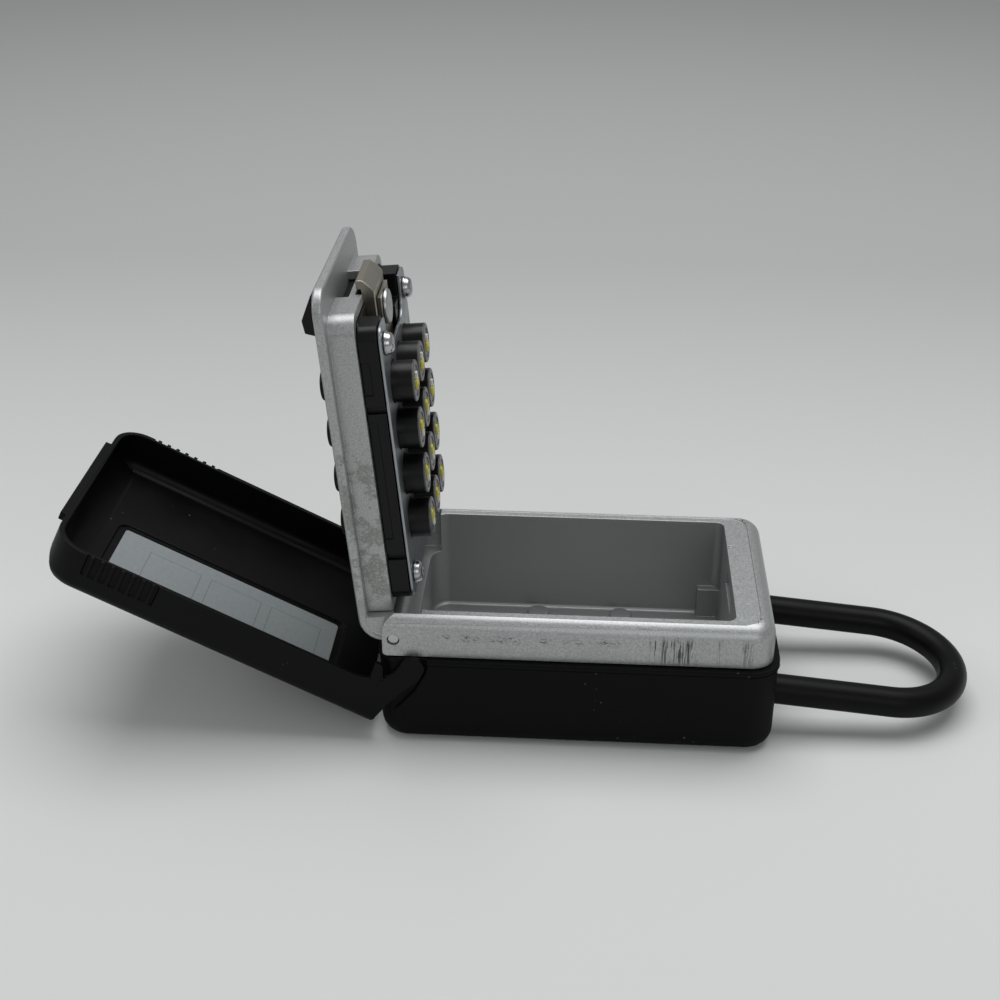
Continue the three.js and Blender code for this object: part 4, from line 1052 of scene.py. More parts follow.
def black_moulding(name, tone, dust, rough, shine, grain, specks, scratches=0.0, worn=None):
    """Black plastic or rubber with a fine grain, a worn sheen, a few dust specks and a worn end."""
    finish = Finish(name)
    fine = finish.noise(grain, 3, 0.65)
    cloud = finish.noise(48, 4, 0.6)
    base = finish.mixed(finish.span(cloud, 0.35, 0.7, 0.0, 0.5), tuple(tone), shade(tone, 1.7))
    dots = finish.cells(420)
    chosen = finish.noise(75, 2, 0.5)
    speck = finish.both(finish.span(dots, 0.14, 0.06), finish.span(chosen, 0.6, 0.68), specks)
    base = finish.mixed(speck, base, tuple(dust))
    gloss = finish.span(cloud, 0.3, 0.75, rough - 0.06, rough + 0.08)
    if scratches:
        lines = finish.noise(1.0, 5, 0.85, finish.stretched(60, 700, 700))
        scratch = finish.both(finish.span(lines, 0.7, 0.78), scratches)
        base = finish.mixed(scratch, base, shade(dust, 0.6))
    if worn:
        matrix, level, depth, worn_tone = worn
        height = finish.axis('Z', finish.within_frame(matrix))
        patches = finish.span(finish.noise(700, 3, 0.6), 0.3, 0.7, 0.7, 1.0)
        end = finish.both(finish.span(height, level + depth, level + depth / 2), patches)
        base = finish.mixed(end, base, tuple(worn_tone))
    normal = finish.bump(fine, 0.2, GRAIN_DEPTH)
    return finish.set(Base_Color=base, Roughness=gloss, Normal=normal, Specular_IOR_Level=shine)


def bare_metal(name, tone, rough, brushed=0.0, tarnish=0.25):
    """Plated or brushed metal with uneven gloss and a little tarnish."""
    finish = Finish(name)
    cloud = finish.noise(160, 4, 0.65)
    fine = finish.noise(1600, 2, 0.6)
    if brushed:
        fine = finish.noise(1.0, 3, 0.6, finish.stretched(3200, 60, 3200))
    base = finish.mixed(finish.span(cloud, 0.38, 0.68, 0.0, tarnish), tuple(tone), shade(tone, 0.45))
    gloss = finish.span(cloud, 0.3, 0.75, rough - 0.05, rough + 0.12)
    normal = finish.bump(fine, 0.1 + brushed, BRUSH_DEPTH)
    return finish.set(Base_Color=base, Metallic=1.0, Roughness=gloss, Normal=normal)


def arrow_paint(name, colour_of_part):
    """Paint of the pointers on the shaft ends."""
    finish = Finish(name)
    fine = finish.noise(1400, 3, 0.6)
    tone = tuple(colour_of_part)
    base = finish.mixed(finish.span(fine, 0.3, 0.75), shade(tone, 0.8), shade(tone, 1.12))
    normal = finish.bump(fine, 0.25, PAINT_DEPTH)
    return finish.set(Base_Color=base, Roughness=finish.span(fine, 0.3, 0.7, 0.42, 0.6), Normal=normal)


FRAMES = 3
FRAME_SHARE = 0.235
FRAME_GAP_SHARE = 0.045
FRAME_START_SHARE = 0.07
FRAME_LOW_SHARE = 0.86
FRAME_HIGH_SHARE = 0.2


def card_print(levels):
    """Grey-blue card with thin empty frames."""
    cover, finish = levels.cover, Finish("card_print")
    paper = finish.noise(900, 3, 0.6)
    cloud = finish.noise(40, 3, 0.5)
    tone = tuple(levels.colours.card)
    base = finish.mixed(finish.span(paper, 0.3, 0.7), shade(tone, 0.93), shade(tone, 1.06))
    base = finish.mixed(finish.span(cloud, 0.35, 0.7, 0.0, 0.2), base, shade(tone, 0.85))
    local = finish.within_frame(levels.cover_place())
    x, y = finish.axis('X', local), finish.axis('Y', local)
    line, blur = cover.frame_line, cover.frame_blur
    frame_length, gap = FRAME_SHARE * cover.label_length, FRAME_GAP_SHARE * cover.label_length
    low = cover.label_far - FRAME_LOW_SHARE * cover.label_width
    high = cover.label_far - FRAME_HIGH_SHARE * cover.label_width
    first = cover.label_start + FRAME_START_SHARE * cover.label_length
    marks = None
    for i in range(FRAMES):
        start = first + i * (frame_length + gap)
        end = start + frame_length
        outside = finish.both(
            finish.within(x, start, end, blur), finish.within(y, low, high, blur))
        inside = finish.both(
            finish.within(x, start + line, end - line, blur),
            finish.within(y, low + line, high - line, blur))
        edge = finish.sum('SUBTRACT', outside, inside)
        marks = edge if marks is None else finish.sum('MAXIMUM', marks, edge)
    base = finish.mixed(finish.both(marks, 0.75), base, tuple(levels.colours.ink))
    normal = finish.bump(paper, 0.08, PAPER_DEPTH)
    return finish.set(Base_Color=base, Roughness=finish.span(cloud, 0.3, 0.7, 0.42, 0.55), Normal=normal)


def floor_finish(levels):
    """Pale floor that grows darker far behind the key box."""
    finish = Finish("studio_floor")
    back = finish.span(finish.axis('Y'), levels.stage.shade_start, levels.stage.shade_end)
    soft = finish.node('ShaderNodeMath', {'operation': 'SMOOTH_MIN'})
    for socket, value in zip(soft.inputs, (back, 1.0, 0.5)):
        finish.put(socket, value)
    base = finish.mixed(soft.outputs[0], tuple(levels.colours.floor_near), tuple(levels.colours.floor_far))
    grain = finish.noise(600, 2, 0.5)
    return finish.set(Base_Color=base, Roughness=0.9, Normal=finish.bump(grain, 0.02, FLAKE_DEPTH))


FINISHES = {}


def make_finishes(levels):
    tones = levels.colours
    dust = tones.dust
    FINISHES.update({
        "band": silver_paint("silver_paint_band", levels, scuffs=True),
        "lid": silver_paint("silver_paint_lid", levels, stains=True),
        "jacket": black_moulding("jacket_rubber", tones.rubber, dust, 0.6, 0.1, 2400, 0.8),
        "cover": black_moulding("cover_plastic", tones.plastic, dust, 0.42, 0.12, 1900, 0.5, 0.2),
        "case": black_moulding("lock_plastic", tones.case, dust, 0.33, 0.2, 2600, 0.35),
        "tower": black_moulding("tower_plastic", tones.case, dust, 0.33, 0.24, 2600, 0.2, worn=(
            levels.lid_place(), levels.tower_under, levels.lock.tower_edge, tones.worn)),
        "vinyl": black_moulding("vinyl_sleeve", tones.vinyl, dust, 0.42, 0.12, 1300, 0.5),
        "zinc": bare_metal("zinc_plate", tones.zinc, 0.36, 0.1),
        "bright": bare_metal("screw_steel", tones.bright, 0.2, 0.0, 0.6),
        "rivet": bare_metal("rivet_steel", tones.steel, 0.36, 0.0, 0.3),
        "nickel": bare_metal("nickel_plate", tones.nickel, 0.3, 0.05, 0.35),
        "steel": bare_metal("spring_steel", tones.steel, 0.28),
        "shaft": bare_metal("shaft_steel", tones.shaft, 0.4, 0.0, 0.3),
        "arrow": arrow_paint("arrow_yellow", tones.yellow),
        "tail": arrow_paint("arrow_pale", tones.pale),
        "card": card_print(levels),
        "floor": floor_finish(levels),
    })


# Vault

BOSS_SIDE_SHARE = 0.4
BOSS_EDGE_SHARE = 0.3


def floor_boss_tree(vault, sunk):
    tree = Tree("Floor bosses", {
        "Radius": vault.boss_radius, "Height": vault.boss_height, "Sunk": sunk,
        "Along": vault.boss_spacing, "Across": vault.boss_across, "Level": vault.cavity_floor}, "band")
    radius, height, sunk = tree.size("Radius"), tree.size("Height"), tree.size("Sunk")
    low, zero = 0.0 - sunk, radius * 0.0
    boss = tree.lathe(radius, [
        tree.line((0.0 - radius, low), (zero, low)),
        tree.line((zero, low), (zero, height * BOSS_SIDE_SHARE)),
        tree.bend((zero, height * BOSS_SIDE_SHARE), (zero, height), (radius * -BOSS_EDGE_SHARE, height)),
        tree.line((radius * -BOSS_EDGE_SHARE, height), (0.0 - radius, height)),
    ], 40)
    grid = tree.on_grid(boss, 2, 2, tree.size("Along"), tree.size("Across"))
    tree.close(tree.shifted(grid, z=tree.size("Level")))
    return tree


def cavity_latch_cuts(levels):
    """Slot of the shackle's latch and its spring's pocket, and the bores of the legs."""
    shackle, fits, vault = levels.shackle, levels.fits, levels.vault
    start = -shackle.latch_back - shackle.latch_thickness / 2 - fits.seat
    end = -shackle.latch_back + shackle.latch_thickness / 2 + fits.seat
    near = (-shackle.half_spacing - shackle.core + shackle.latch_bite - shackle.latch_rail
            - shackle.latch_travel - fits.run)
    high = shackle.latch_half_height + fits.seat
    slot = block(start, end, near, -vault.block_far + fits.over, -high, high)
    pocket = rod(shackle.spring_radius + fits.seat, -shackle.latch_back, 0, near - shackle.spring_pocket,
                 near + fits.seat, 'Y', SMALL_SIDES)
    bore = shackle.core + fits.run
    legs = [
        rod(bore, -shackle.half_spacing, 0, -shackle.long_leg - fits.run, fits.over, 'X'),
        rod(bore, shackle.half_spacing, 0, -shackle.short_leg - fits.run, fits.over, 'X'),
    ]
    return [moved(piece, levels.shackle_in_body()) for piece in (slot, pocket, *legs)]


def build_vault(levels):
    vault, jacket, lid, latch, fits = levels.vault, levels.jacket, levels.lid, levels.latch, levels.fits
    half, rim, over = levels.half, levels.rim, fits.over
    ring = slab(oblong(-2 * vault.band_corner, vault.length, half, vault.band_corner),
                jacket.height - 2 * vault.band_edge, rim, vault.band_edge)
    foot = jacket.height + vault.cheek_foot
    side = [(vault.cheek_foot, jacket.height), (vault.length + over, jacket.height),
            (vault.length + over, rim + over), (vault.cheek_corner, rim + over)]
    side += arc(vault.cheek_corner, rim - vault.cheek_corner, vault.cheek_corner, 0.5, 1.0)
    side += arc(vault.cheek_foot, foot, vault.cheek_foot, 1.0, 1.5)[:-1]
    band = common(ring, drawn(side, -half - over, half + over))
    inset = vault.box_inset
    box = slab(oblong(inset, vault.length - inset, half - inset, vault.box_corner),
               vault.box_floor, jacket.height + vault.box_edge, vault.box_edge, 0.0)
    stock = join(band, box)
    lip = slab(oblong(-vault.length, vault.length - vault.end_lip, half - vault.lip_width, vault.lip_corner),
               levels.ledge, rim + over)
    cavity = slab(
        oblong(vault.cavity_start, levels.cavity_end, levels.cavity_half, vault.cavity_corner,
               vault.cavity_end_corner),
        vault.cavity_floor, rim + over, vault.cavity_edge, 0.0)
    stock = cut(stock, lip, cavity)
    half_height = (vault.block_top - vault.cavity_floor) / 2 + vault.block_sunk
    middle = (vault.block_top + vault.cavity_floor) / 2 - vault.block_sunk
    profile = plan_points(-levels.cavity_half - over, -vault.block_far, half_height, vault.block_corner)
    profile = [(y, z + middle) for y, z in profile]
    latch_block = drawn(profile, vault.block_start, levels.cavity_end + over, 'X')
    rib = block(levels.cavity_end - vault.rib_length, levels.cavity_end + over,
                levels.cavity_half - vault.rib_width, levels.cavity_half + over,
                vault.cavity_floor - over, vault.rib_top)
    stock = join(stock, latch_block, rib)
    wall_top = levels.pin_height - lid.heel_radius + vault.hinge_drop
    hinge_gap = block(-over, vault.cavity_start + vault.hinge_reach, -half + vault.lip_width,
                      half - vault.lip_width, wall_top, rim + over)
    strike = block(
        levels.cavity_end - over, lid.pin_back + latch.tip + vault.strike_gap, -latch.half - fits.run,
        latch.half + fits.run, levels.pin_height + levels.bolt_under - fits.run,
        levels.pin_height + latch.top + latch.hook_height + vault.strike_gap)
    pin_hole = rod(lid.pin_hole, lid.pin_back, levels.pin_height, -half - over, half + over, 'Y')
    punch = rod(vault.punch_radius, vault.punch_along, vault.punch_across,
                levels.ledge - vault.punch_radius / 2, rim + over, sides=SMALL_SIDES)
    stock = cut(stock, hinge_gap, strike, pin_hole, punch, *cavity_latch_cuts(levels))
    place(stock, "vault_casting", levels.body_place(), "band", "vault", "silver_paint", "vault_body",
          edge=vault.edge_rounding)
    bosses = floor_boss_tree(vault, fits.seat).grow()
    place(bosses, "floor_bosses", Matrix(), "band", "vault", "silver_paint", "vault_body")
    reach = half - lid.pin_recess
    pin = rod(lid.pin_radius, lid.pin_back, levels.pin_height, -reach, reach, 'Y')
    place(pin, "hinge_pin", levels.body_place(), "steel", "vault", "shaft_steel", "lid_hinge_pin",
          edge=fits.fine)


def build_jacket(levels):
    vault, jacket, cover, fits = levels.vault, levels.jacket, levels.cover, levels.fits
    half, over = levels.half, fits.over
    jacket_half = half + jacket.overhang
    shell = slab(oblong(-jacket.overhang, vault.length + jacket.overhang, jacket_half, jacket.corner),
                 0.0, jacket.height - fits.seat, jacket.edge, jacket.edge_rounding)
    bead_top = jacket.height - jacket.bead_drop
    proud = jacket.bead_proud
    bead = slab(
        oblong(-jacket.overhang - proud, vault.length + jacket.overhang + proud, jacket_half + proud,
               jacket.corner + proud),
        bead_top - jacket.bead_height, bead_top, proud)
    inside = fits.seat - vault.box_inset
    hollow = slab(oblong(-inside, vault.length + inside, half + inside, vault.box_corner + fits.seat),
                  jacket.floor, jacket.height + over, vault.box_edge, 0.0)
    cos, sin = math.cos(cover.open_angle), math.sin(cover.open_angle)
    reach = cover.arm_radius + fits.run + fits.seat

    def swung(x, z):
        return (cover.pivot_x + x * cos - z * sin, cover.pivot_z + x * sin + z * cos)

    below, waist = swung(-reach, 0), swung(-reach, 2 * cover.arm_radius)
    heel = swung(cover.heel_x - cover.pivot_x - 2 * fits.run, levels.cover_outside - cover.pivot_z)
    outline = [(cover.pivot_x + reach, jacket.height + over), (-cover.pivot_x, jacket.height + over),
               (-cover.pivot_x, heel[1] - over), (heel[0], heel[1] - over), waist, below,
               (cover.pivot_x + reach, cover.pivot_z)]
    deep, clear = levels.cover_inner_half - fits.seat, jacket_half + over
    pockets = [drawn(outline, *on_side(side, deep, clear)) for side in (-1, 1)]
    pips = rod(cover.pip_radius + fits.seat, cover.pivot_x, cover.pivot_z, -clear, clear, 'Y')
    shackle = levels.shackle
    exits = [moved(rod(shackle.sleeve + fits.run, side * shackle.half_spacing, 0, -2 * over, 3 * over, 'X'),
                   levels.shackle_in_body()) for side in (-1, 1)]
    stock = cut(join(shell, bead), hollow, *pockets, pips, *exits)
    place(stock, "soft_jacket", levels.body_place(), "jacket", "vault", "jacket_rubber", "jacket",
          edge=jacket.edge_rounding, steps=3, limit=40, smooth=50)


# Lid and lock, drawn shut from the hinge pin

def at_buttons(levels, radius, low, high):
    """A rod at the place of each button, all as one form."""
    return together(*[rod(radius, along, off, low, high) for along, off, _ in levels.buttons()])


def lever_slot(levels, off, travel):
    latch, fits, lid = levels.latch, levels.fits, levels.lid
    return block(latch.stem_start - travel - fits.run, latch.stem_start + latch.stem_length + fits.run,
                 off - latch.stem_half - fits.run, off + latch.stem_half + fits.run,
                 levels.plate_under - fits.over, lid.top + fits.over)


def build_lid(levels):
    vault, lid, latch, lock, fits = levels.vault, levels.lid, levels.latch, levels.lock, levels.fits
    over, under = fits.over, levels.plate_under
    plate = slab(oblong(-2 * lid.corner, lid.reach, levels.lid_half, lid.corner), under, lid.top, lid.edge)
    plate = cut(plate, block(-3 * lid.corner, lid.skirt_start + lid.edge, -levels.half, levels.half,
                             under - over, lid.top + over))
    x, z = lid.heel_radius - lid.pin_back + fits.run, lid.top - lid.heel_radius
    inner = lid.heel_radius - lid.heel_wall
    join_at = lid.skirt_start + lid.skirt_wall
    heel = [(join_at, lid.top)] + arc(x, z, lid.heel_radius, 0.5, 1.0)
    heel += [(x - lid.heel_radius, -lid.heel_drop), (x - inner, -lid.heel_drop)]
    heel += arc(x, z, inner, 1.0, 0.5) + [(join_at, lid.top - lid.heel_wall)]
    knuckle = cut(
        rod(lid.knuckle, 0, 0, -levels.lid_half, levels.lid_half, 'Y'),
        block(-vault.length, x - lid.heel_radius, -levels.half, levels.half, -vault.width, vault.width))
    bend = soften(drawn(heel, -levels.lid_half, levels.lid_half), lid.edge)
    middle = lid.heel_radius - lid.heel_wall / 2
    web = [(lid.skirt_start, z + middle)] + arc(x, z, middle, 0.5, 1.0)
    web += [(x - middle, 0), (lid.skirt_start, 0)]
    webs = [drawn(web, *on_side(side, levels.lid_half - fits.fine, levels.lid_half - lid.web))
            for side in (-1, 1)]
    wall = join(bend, knuckle, *webs)
    skirt = slab(oblong(lid.skirt_start, lid.skirt_end, lid.skirt_half, lid.edge, lid.skirt_corner),
                 levels.skirt_under, under + lid.edge)
    hollow = slab(
        oblong(lid.skirt_start + lid.skirt_wall, lid.skirt_end - lid.skirt_wall,
               lid.skirt_half - lid.skirt_wall, lid.edge, lid.skirt_corner - lid.skirt_wall),
        levels.skirt_under - over, under)
    stock = cut(join(plate, wall, skirt), hollow)
    wall_start, wall_end = lid.skirt_end - 2 * lid.skirt_wall, lid.skirt_end + over
    window = block(wall_start, wall_end, -lid.window_half, lid.window_half, under - lid.window_height, under)
    bolt_way = block(wall_start, wall_end, -latch.half - fits.run, latch.half + fits.run,
                     levels.skirt_under - over, latch.top + latch.hook_height + fits.run)
    holes = at_buttons(levels, lock.cap_radius + fits.run, under - over, lid.top + over)
    stock = cut(stock, window, bolt_way, holes, lever_slot(levels, -latch.lever_across, latch.travel),
                lever_slot(levels, latch.lever_across, latch.clear_travel),
                rod(lid.pin_hole, 0, 0, -levels.half, levels.half, 'Y'))
    place(stock, "lid_casting", levels.lid_place(), "lid", "lid", "silver_paint", "lid_shell",
          edge=fits.fine)


TOWER_INNER_SHARE = 0.6


def tower_tree(levels):
    lock, fits = levels.lock, levels.fits
    tree = Tree("Button towers", {
        "Rows": lock.rows, "Columns": lock.columns, "Row Pitch": lock.row_pitch,
        "Column Pitch": lock.column_pitch, "Radius": lock.tower_radius,
        "Bore": lock.shaft_radius + fits.run / 3,
        "Height": levels.case_under - levels.tower_under + fits.seat, "Edge": lock.tower_edge,
        "First Row": lock.first_row, "Level": levels.tower_under}, "tower")
    outer, bore, height, edge = (tree.size(name) for name in ("Radius", "Bore", "Height", "Edge"))
    wall, zero, inner = outer - bore, outer * 0.0, edge * TOWER_INNER_SHARE
    tower = tree.lathe(outer, [
        tree.line((0.0 - wall, height), (zero, height)),
        tree.line((zero, height), (zero, edge)),
        tree.bend((zero, edge), (zero, zero), (0.0 - edge, zero)),
        tree.line((0.0 - edge, zero), (inner - wall, zero)),
        tree.bend((inner - wall, zero), (0.0 - wall, zero), (0.0 - wall, inner)),
        tree.line((0.0 - wall, inner), (0.0 - wall, height)),
    ])
    rows, columns = tree.size("Rows"), tree.size("Columns")
    length = tree.size("Row Pitch") * (rows - 1.0)
    width = tree.size("Column Pitch") * (columns - 1.0)
    grid = tree.on_grid(tower, rows, columns, length, width)
    tree.close(tree.shifted(grid, tree.size("First Row") + length * 0.5, 0.0, tree.size("Level")))
    return tree


def case_side_cuts(levels):
    """Sunk panels and gaps that the moulding has along both sides of the case."""
    lid, lock, fits = levels.lid, levels.lock, levels.fits
    over, top = fits.over, levels.skirt_under - fits.seat + fits.fine
    half = lid.skirt_half - lock.flange_inset
    cuts = []
    for side in (-1, 1):
        for start, end in (
                (lock.panel_start, lock.panel_end), (lock.short_panel_start, lock.short_panel_end)):
            cuts.append(block(start, end, *on_side(side, half - lock.panel_depth, half + over),
                              top - lock.panel_height, top + over))
        for middle in (lock.gap_near_hinge, lock.gap_near_bolt):
            cuts.append(block(middle - lock.gap_width / 2, middle + lock.gap_width / 2,
                              *on_side(side, half - lock.gap_depth, half + over),
                              levels.case_under - over, top + over))
    return cuts


def build_case(levels):
    lid, lock, latch, fits = levels.lid, levels.lock, levels.latch, levels.fits
    over = fits.over
    inner_end = lid.skirt_end - lid.skirt_wall - fits.seat
    upper = slab(
        oblong(lid.skirt_start + lid.skirt_wall + fits.seat, inner_end,
               lid.skirt_half - lid.skirt_wall - fits.seat, lid.edge, lid.skirt_corner - lid.skirt_wall),
        levels.skirt_under - 2 * fits.seat, levels.case_top)
    flange = slab(
        oblong(lock.case_start, lock.case_end, lid.skirt_half - lock.flange_inset, lock.flange_corner),
        levels.case_under, levels.skirt_under - fits.seat)
    stock = join(upper, flange)
    bores = at_buttons(
        levels, lock.shaft_radius + fits.run, levels.case_under - over, levels.case_top - lock.bore_end)
    chambers = at_buttons(
        levels, lock.flange_radius + fits.run, levels.chamber_under, levels.case_top + over)
    bolt_pocket = block(latch.rear - latch.travel - fits.run, lock.case_end + over, -latch.half - fits.run,
                        latch.half + fits.run, levels.case_under - over, latch.top + fits.run)
    mouth = block(lock.mouth_start, lock.case_end + over, -lock.mouth_half, lock.mouth_half,
                  levels.case_under - over, levels.skirt_under - 2 * fits.seat)
    foot_under = latch.foot_top - latch.foot_thickness - fits.run
    foot_end = latch.stem_start + latch.stem_length + 3 * fits.run
    open_pocket = block(
        latch.rivet_along - latch.foot_half_length - latch.travel - fits.run, foot_end,
        -latch.lever_across - latch.foot_half - fits.run, latch.foot_half + fits.run,
        foot_under, levels.case_top + over)
    rivet_way = block(latch.rivet_along - latch.travel - latch.rivet_shank - fits.run, inner_end + over,
                      -latch.half, latch.half, latch.top, latch.top + latch.hook_height + 2 * fits.run)
    clear_pocket = block(
        latch.rivet_along - latch.foot_half_length - latch.clear_spring - fits.run, foot_end,
        latch.lever_across - latch.foot_half - fits.run, latch.lever_across + latch.foot_half + fits.run,
        foot_under, levels.case_top + over)
    gate_half = lock.column_pitch * (lock.columns - 1) / 2 + lock.shaft_radius + fits.run + latch.gate_rim
    gate_slot = block(
        lock.first_row - lock.shaft_radius - latch.gate_margin - latch.travel - 3 * fits.run, latch.rear,
        -gate_half - fits.run, gate_half + fits.run, levels.gate_under - fits.seat,
        levels.gate_top + fits.seat)
    stock = cut(stock, bores, chambers, bolt_pocket, mouth, open_pocket, rivet_way, clear_pocket, gate_slot,
                *case_side_cuts(levels))
    place(stock, "lock_case", levels.lid_place(), "case", "lid", "lock_plastic", "lock_housing",
          edge=fits.fine)
    towers = tower_tree(levels).grow()
    place(towers, "button_towers", levels.lid_place(), "tower", "lid", "lock_plastic", "lock_housing",
          smooth=45)


def build_back_plate(levels):
    lid, lock, latch, fits = levels.lid, levels.lock, levels.latch, levels.fits
    low, high, over = levels.back_under, levels.back_top, fits.over
    plate = slab(
        oblong(lock.case_start + lock.plate_inset, lock.case_end - lock.plate_inset,
               lid.skirt_half - lock.flange_inset - lock.plate_inset, lock.plate_corner), low, high)
    notch = slab(oblong(lock.notch_start, lock.case_end + 5 * over, lock.mouth_half, lock.notch_corner),
                 low - over, high + over)
    holes = at_buttons(levels, lock.tower_radius + fits.seat, low - over, high + over)
    hole = latch.screw_shank + fits.run
    screws = together(*[rod(hole, along, off, low - over, high + over, sides=SMALL_SIDES)
                        for along, off in levels.screws()])
    stock = cut(plate, notch, holes, screws)
    place(stock, "back_plate", levels.lid_place(), "zinc", "lid", "zinc_plate", "lock_back_plate",
          edge=fits.plate_edge, steps=2)


# Flat of the head, end of its dome and the dome's rim, and the cross's arms, by the head's radius
SCREW_SHARES = (0.45, 0.9, 0.93)
CROSS_SHARE = 0.62


def build_screws(levels):
    latch, fits = levels.latch, levels.fits
    head, height, shank = latch.screw_head, latch.screw_height, latch.screw_shank
    under = levels.back_under - fits.seat
    top, rim = under - height, under - latch.screw_rim
    flat, shoulder, dome = (head * share for share in SCREW_SHARES)
    profile = [(LEAST, top), (flat, top), *curve((flat, top), (shoulder, top), (dome, rim), 8)]
    profile += [(head, rim), (head, under), (shank, under), (shank, under + latch.screw_length),
                (LEAST, under + latch.screw_length)]
    long, wide = head * CROSS_SHARE, latch.cross_width / 2
    screws = []
    for along, off in levels.screws():
        arms = [block(along - x, along + x, off - y, off + y, top - height, top + latch.cross_depth)
                for x, y in ((long, wide), (wide, long))]
        screws.append(cut(turned(profile, along, off), *arms))
    whole = together(*screws)
    place(whole, "case_screws", levels.lid_place(), "bright", "lid", "screw_steel", "lock_screw_1",
          "lock_screw_2", "lock_screw_3", "lock_screw_4", edge=fits.screw_edge, steps=2, limit=50)


DISH_SHARE = 0.4


def button_tree(levels):
    lid, lock = levels.lid, levels.lock
    tree = Tree("Push button", {
        "Cap Radius": lock.cap_radius, "Top": lid.top + lock.cap_proud, "Dome": lock.cap_dome,
        "Dish": lock.cap_dish, "Flange Radius": lock.flange_radius,
        "Flange Under": levels.flange_top - lock.flange_thickness, "Flange Top": levels.flange_top,
        "Along": 0.0, "Across": 0.0}, "case")
    cap, top, dome, dish = (tree.size(name) for name in ("Cap Radius", "Top", "Dome", "Dish"))
    flange, low, high = (tree.size(name) for name in ("Flange Radius", "Flange Under", "Flange Top"))
    edge, zero = cap - flange, cap * 0.0
    button = tree.lathe(flange, [
        tree.line((0.0 - flange, low), (zero, low)),
        tree.line((zero, low), (zero, high)),
        tree.line((zero, high), (edge, high)),
        tree.line((edge, high), (edge, top - dome)),
        tree.bend((edge, top - dome), (edge, top), (edge - dome, top)),
        tree.bend((edge - dome, top), (cap * -DISH_SHARE + edge, top - dish), (0.0 - flange, top - dish), 8),
    ])
    tree.close(tree.shifted(button, tree.size("Along"), tree.size("Across"), 0.0))
    return tree


def build_buttons(levels):
    tree = button_tree(levels)
    for count, (along, off, _) in enumerate(levels.buttons(), 1):
        button = tree.grow(Along=along, Across=off)
        name = f"button_{count:02d}"
        place(button, f"push_{name}", levels.lid_place(), "case", name, "lock_plastic", name, smooth=45)


def build_code_shafts(levels):
    lock, fits = levels.lock, levels.fits
    face = levels.tower_under + lock.shaft_recess
    top = levels.flange_top - lock.flange_thickness - fits.seat
    low, high = levels.gate_under - 2 * fits.run, levels.gate_top + 2 * fits.run
    flat = lock.shaft_radius - lock.notch_depth
    start, tip = -lock.arrow_length / 2, lock.arrow_length / 2
    neck, shoulder = tip - lock.arrow_head_length, tip - lock.arrow_head_width / 4
    head, thin = lock.arrow_head_width / 2, lock.arrow_tail_width / 2
    wide_part = [(neck, -head), (shoulder, -head), (tip, -thin), (tip, thin), (shoulder, head), (neck, head)]
    for count, (along, off, is_turned) in enumerate(levels.buttons(), 1):
        rod_part = rod(lock.shaft_radius, 0, 0, face, top)
        notches = []
        for side, rise in ((1, 0.0), (-1, 0.0), (-1, lock.travel)):
            notches.append(block(*on_side(side, flat, lock.shaft_radius + fits.over),
                                 -2 * lock.shaft_radius, 2 * lock.shaft_radius, low + rise, high + rise))
        shaft = cut(rod_part, *notches)
        pointer = drawn(wide_part, face - lock.arrow_height, face + fits.seat, 'Z')
        tail = block(start, neck, -thin, thin, face - lock.arrow_height, face + fits.seat)
        pointer = cut(pointer, block(tip - lock.slot_length, tip + fits.over, -lock.slot_width / 2,
                                     lock.slot_width / 2, face - 2 * lock.arrow_height,
                                     face - lock.arrow_height / 2))
        spin = Matrix.Rotation(math.pi if is_turned else 0.0, 4, 'Z')
        matrix = levels.lid_place() @ Matrix.Translation((along, off, 0)) @ spin
        body = f"code_shaft_{count:02d}"
        for piece, kind, finish, slot, edge in (
                (shaft, "turned", "shaft", "shaft_steel", fits.fine),
                (pointer, "pointer", "arrow", "arrow_yellow", fits.arrow_edge),
                (tail, "tail", "tail", "arrow_yellow", fits.arrow_edge)):
            place(piece, f"{body}_{kind}", matrix, finish, body, slot, body, edge=edge, steps=2)


# The nose's bend by the chamfer, then the rivet's dimple as across and deep by its radius and height
NOSE_SHARE = 0.4
RIVET_SHARES = ((0.16, 1), (0.2, 0.86), (0.26, 1), (0.84, 1))
RIVET_FLAT_SHARE = 0.84
RIVET_SKIRT_SHARE = 0.45


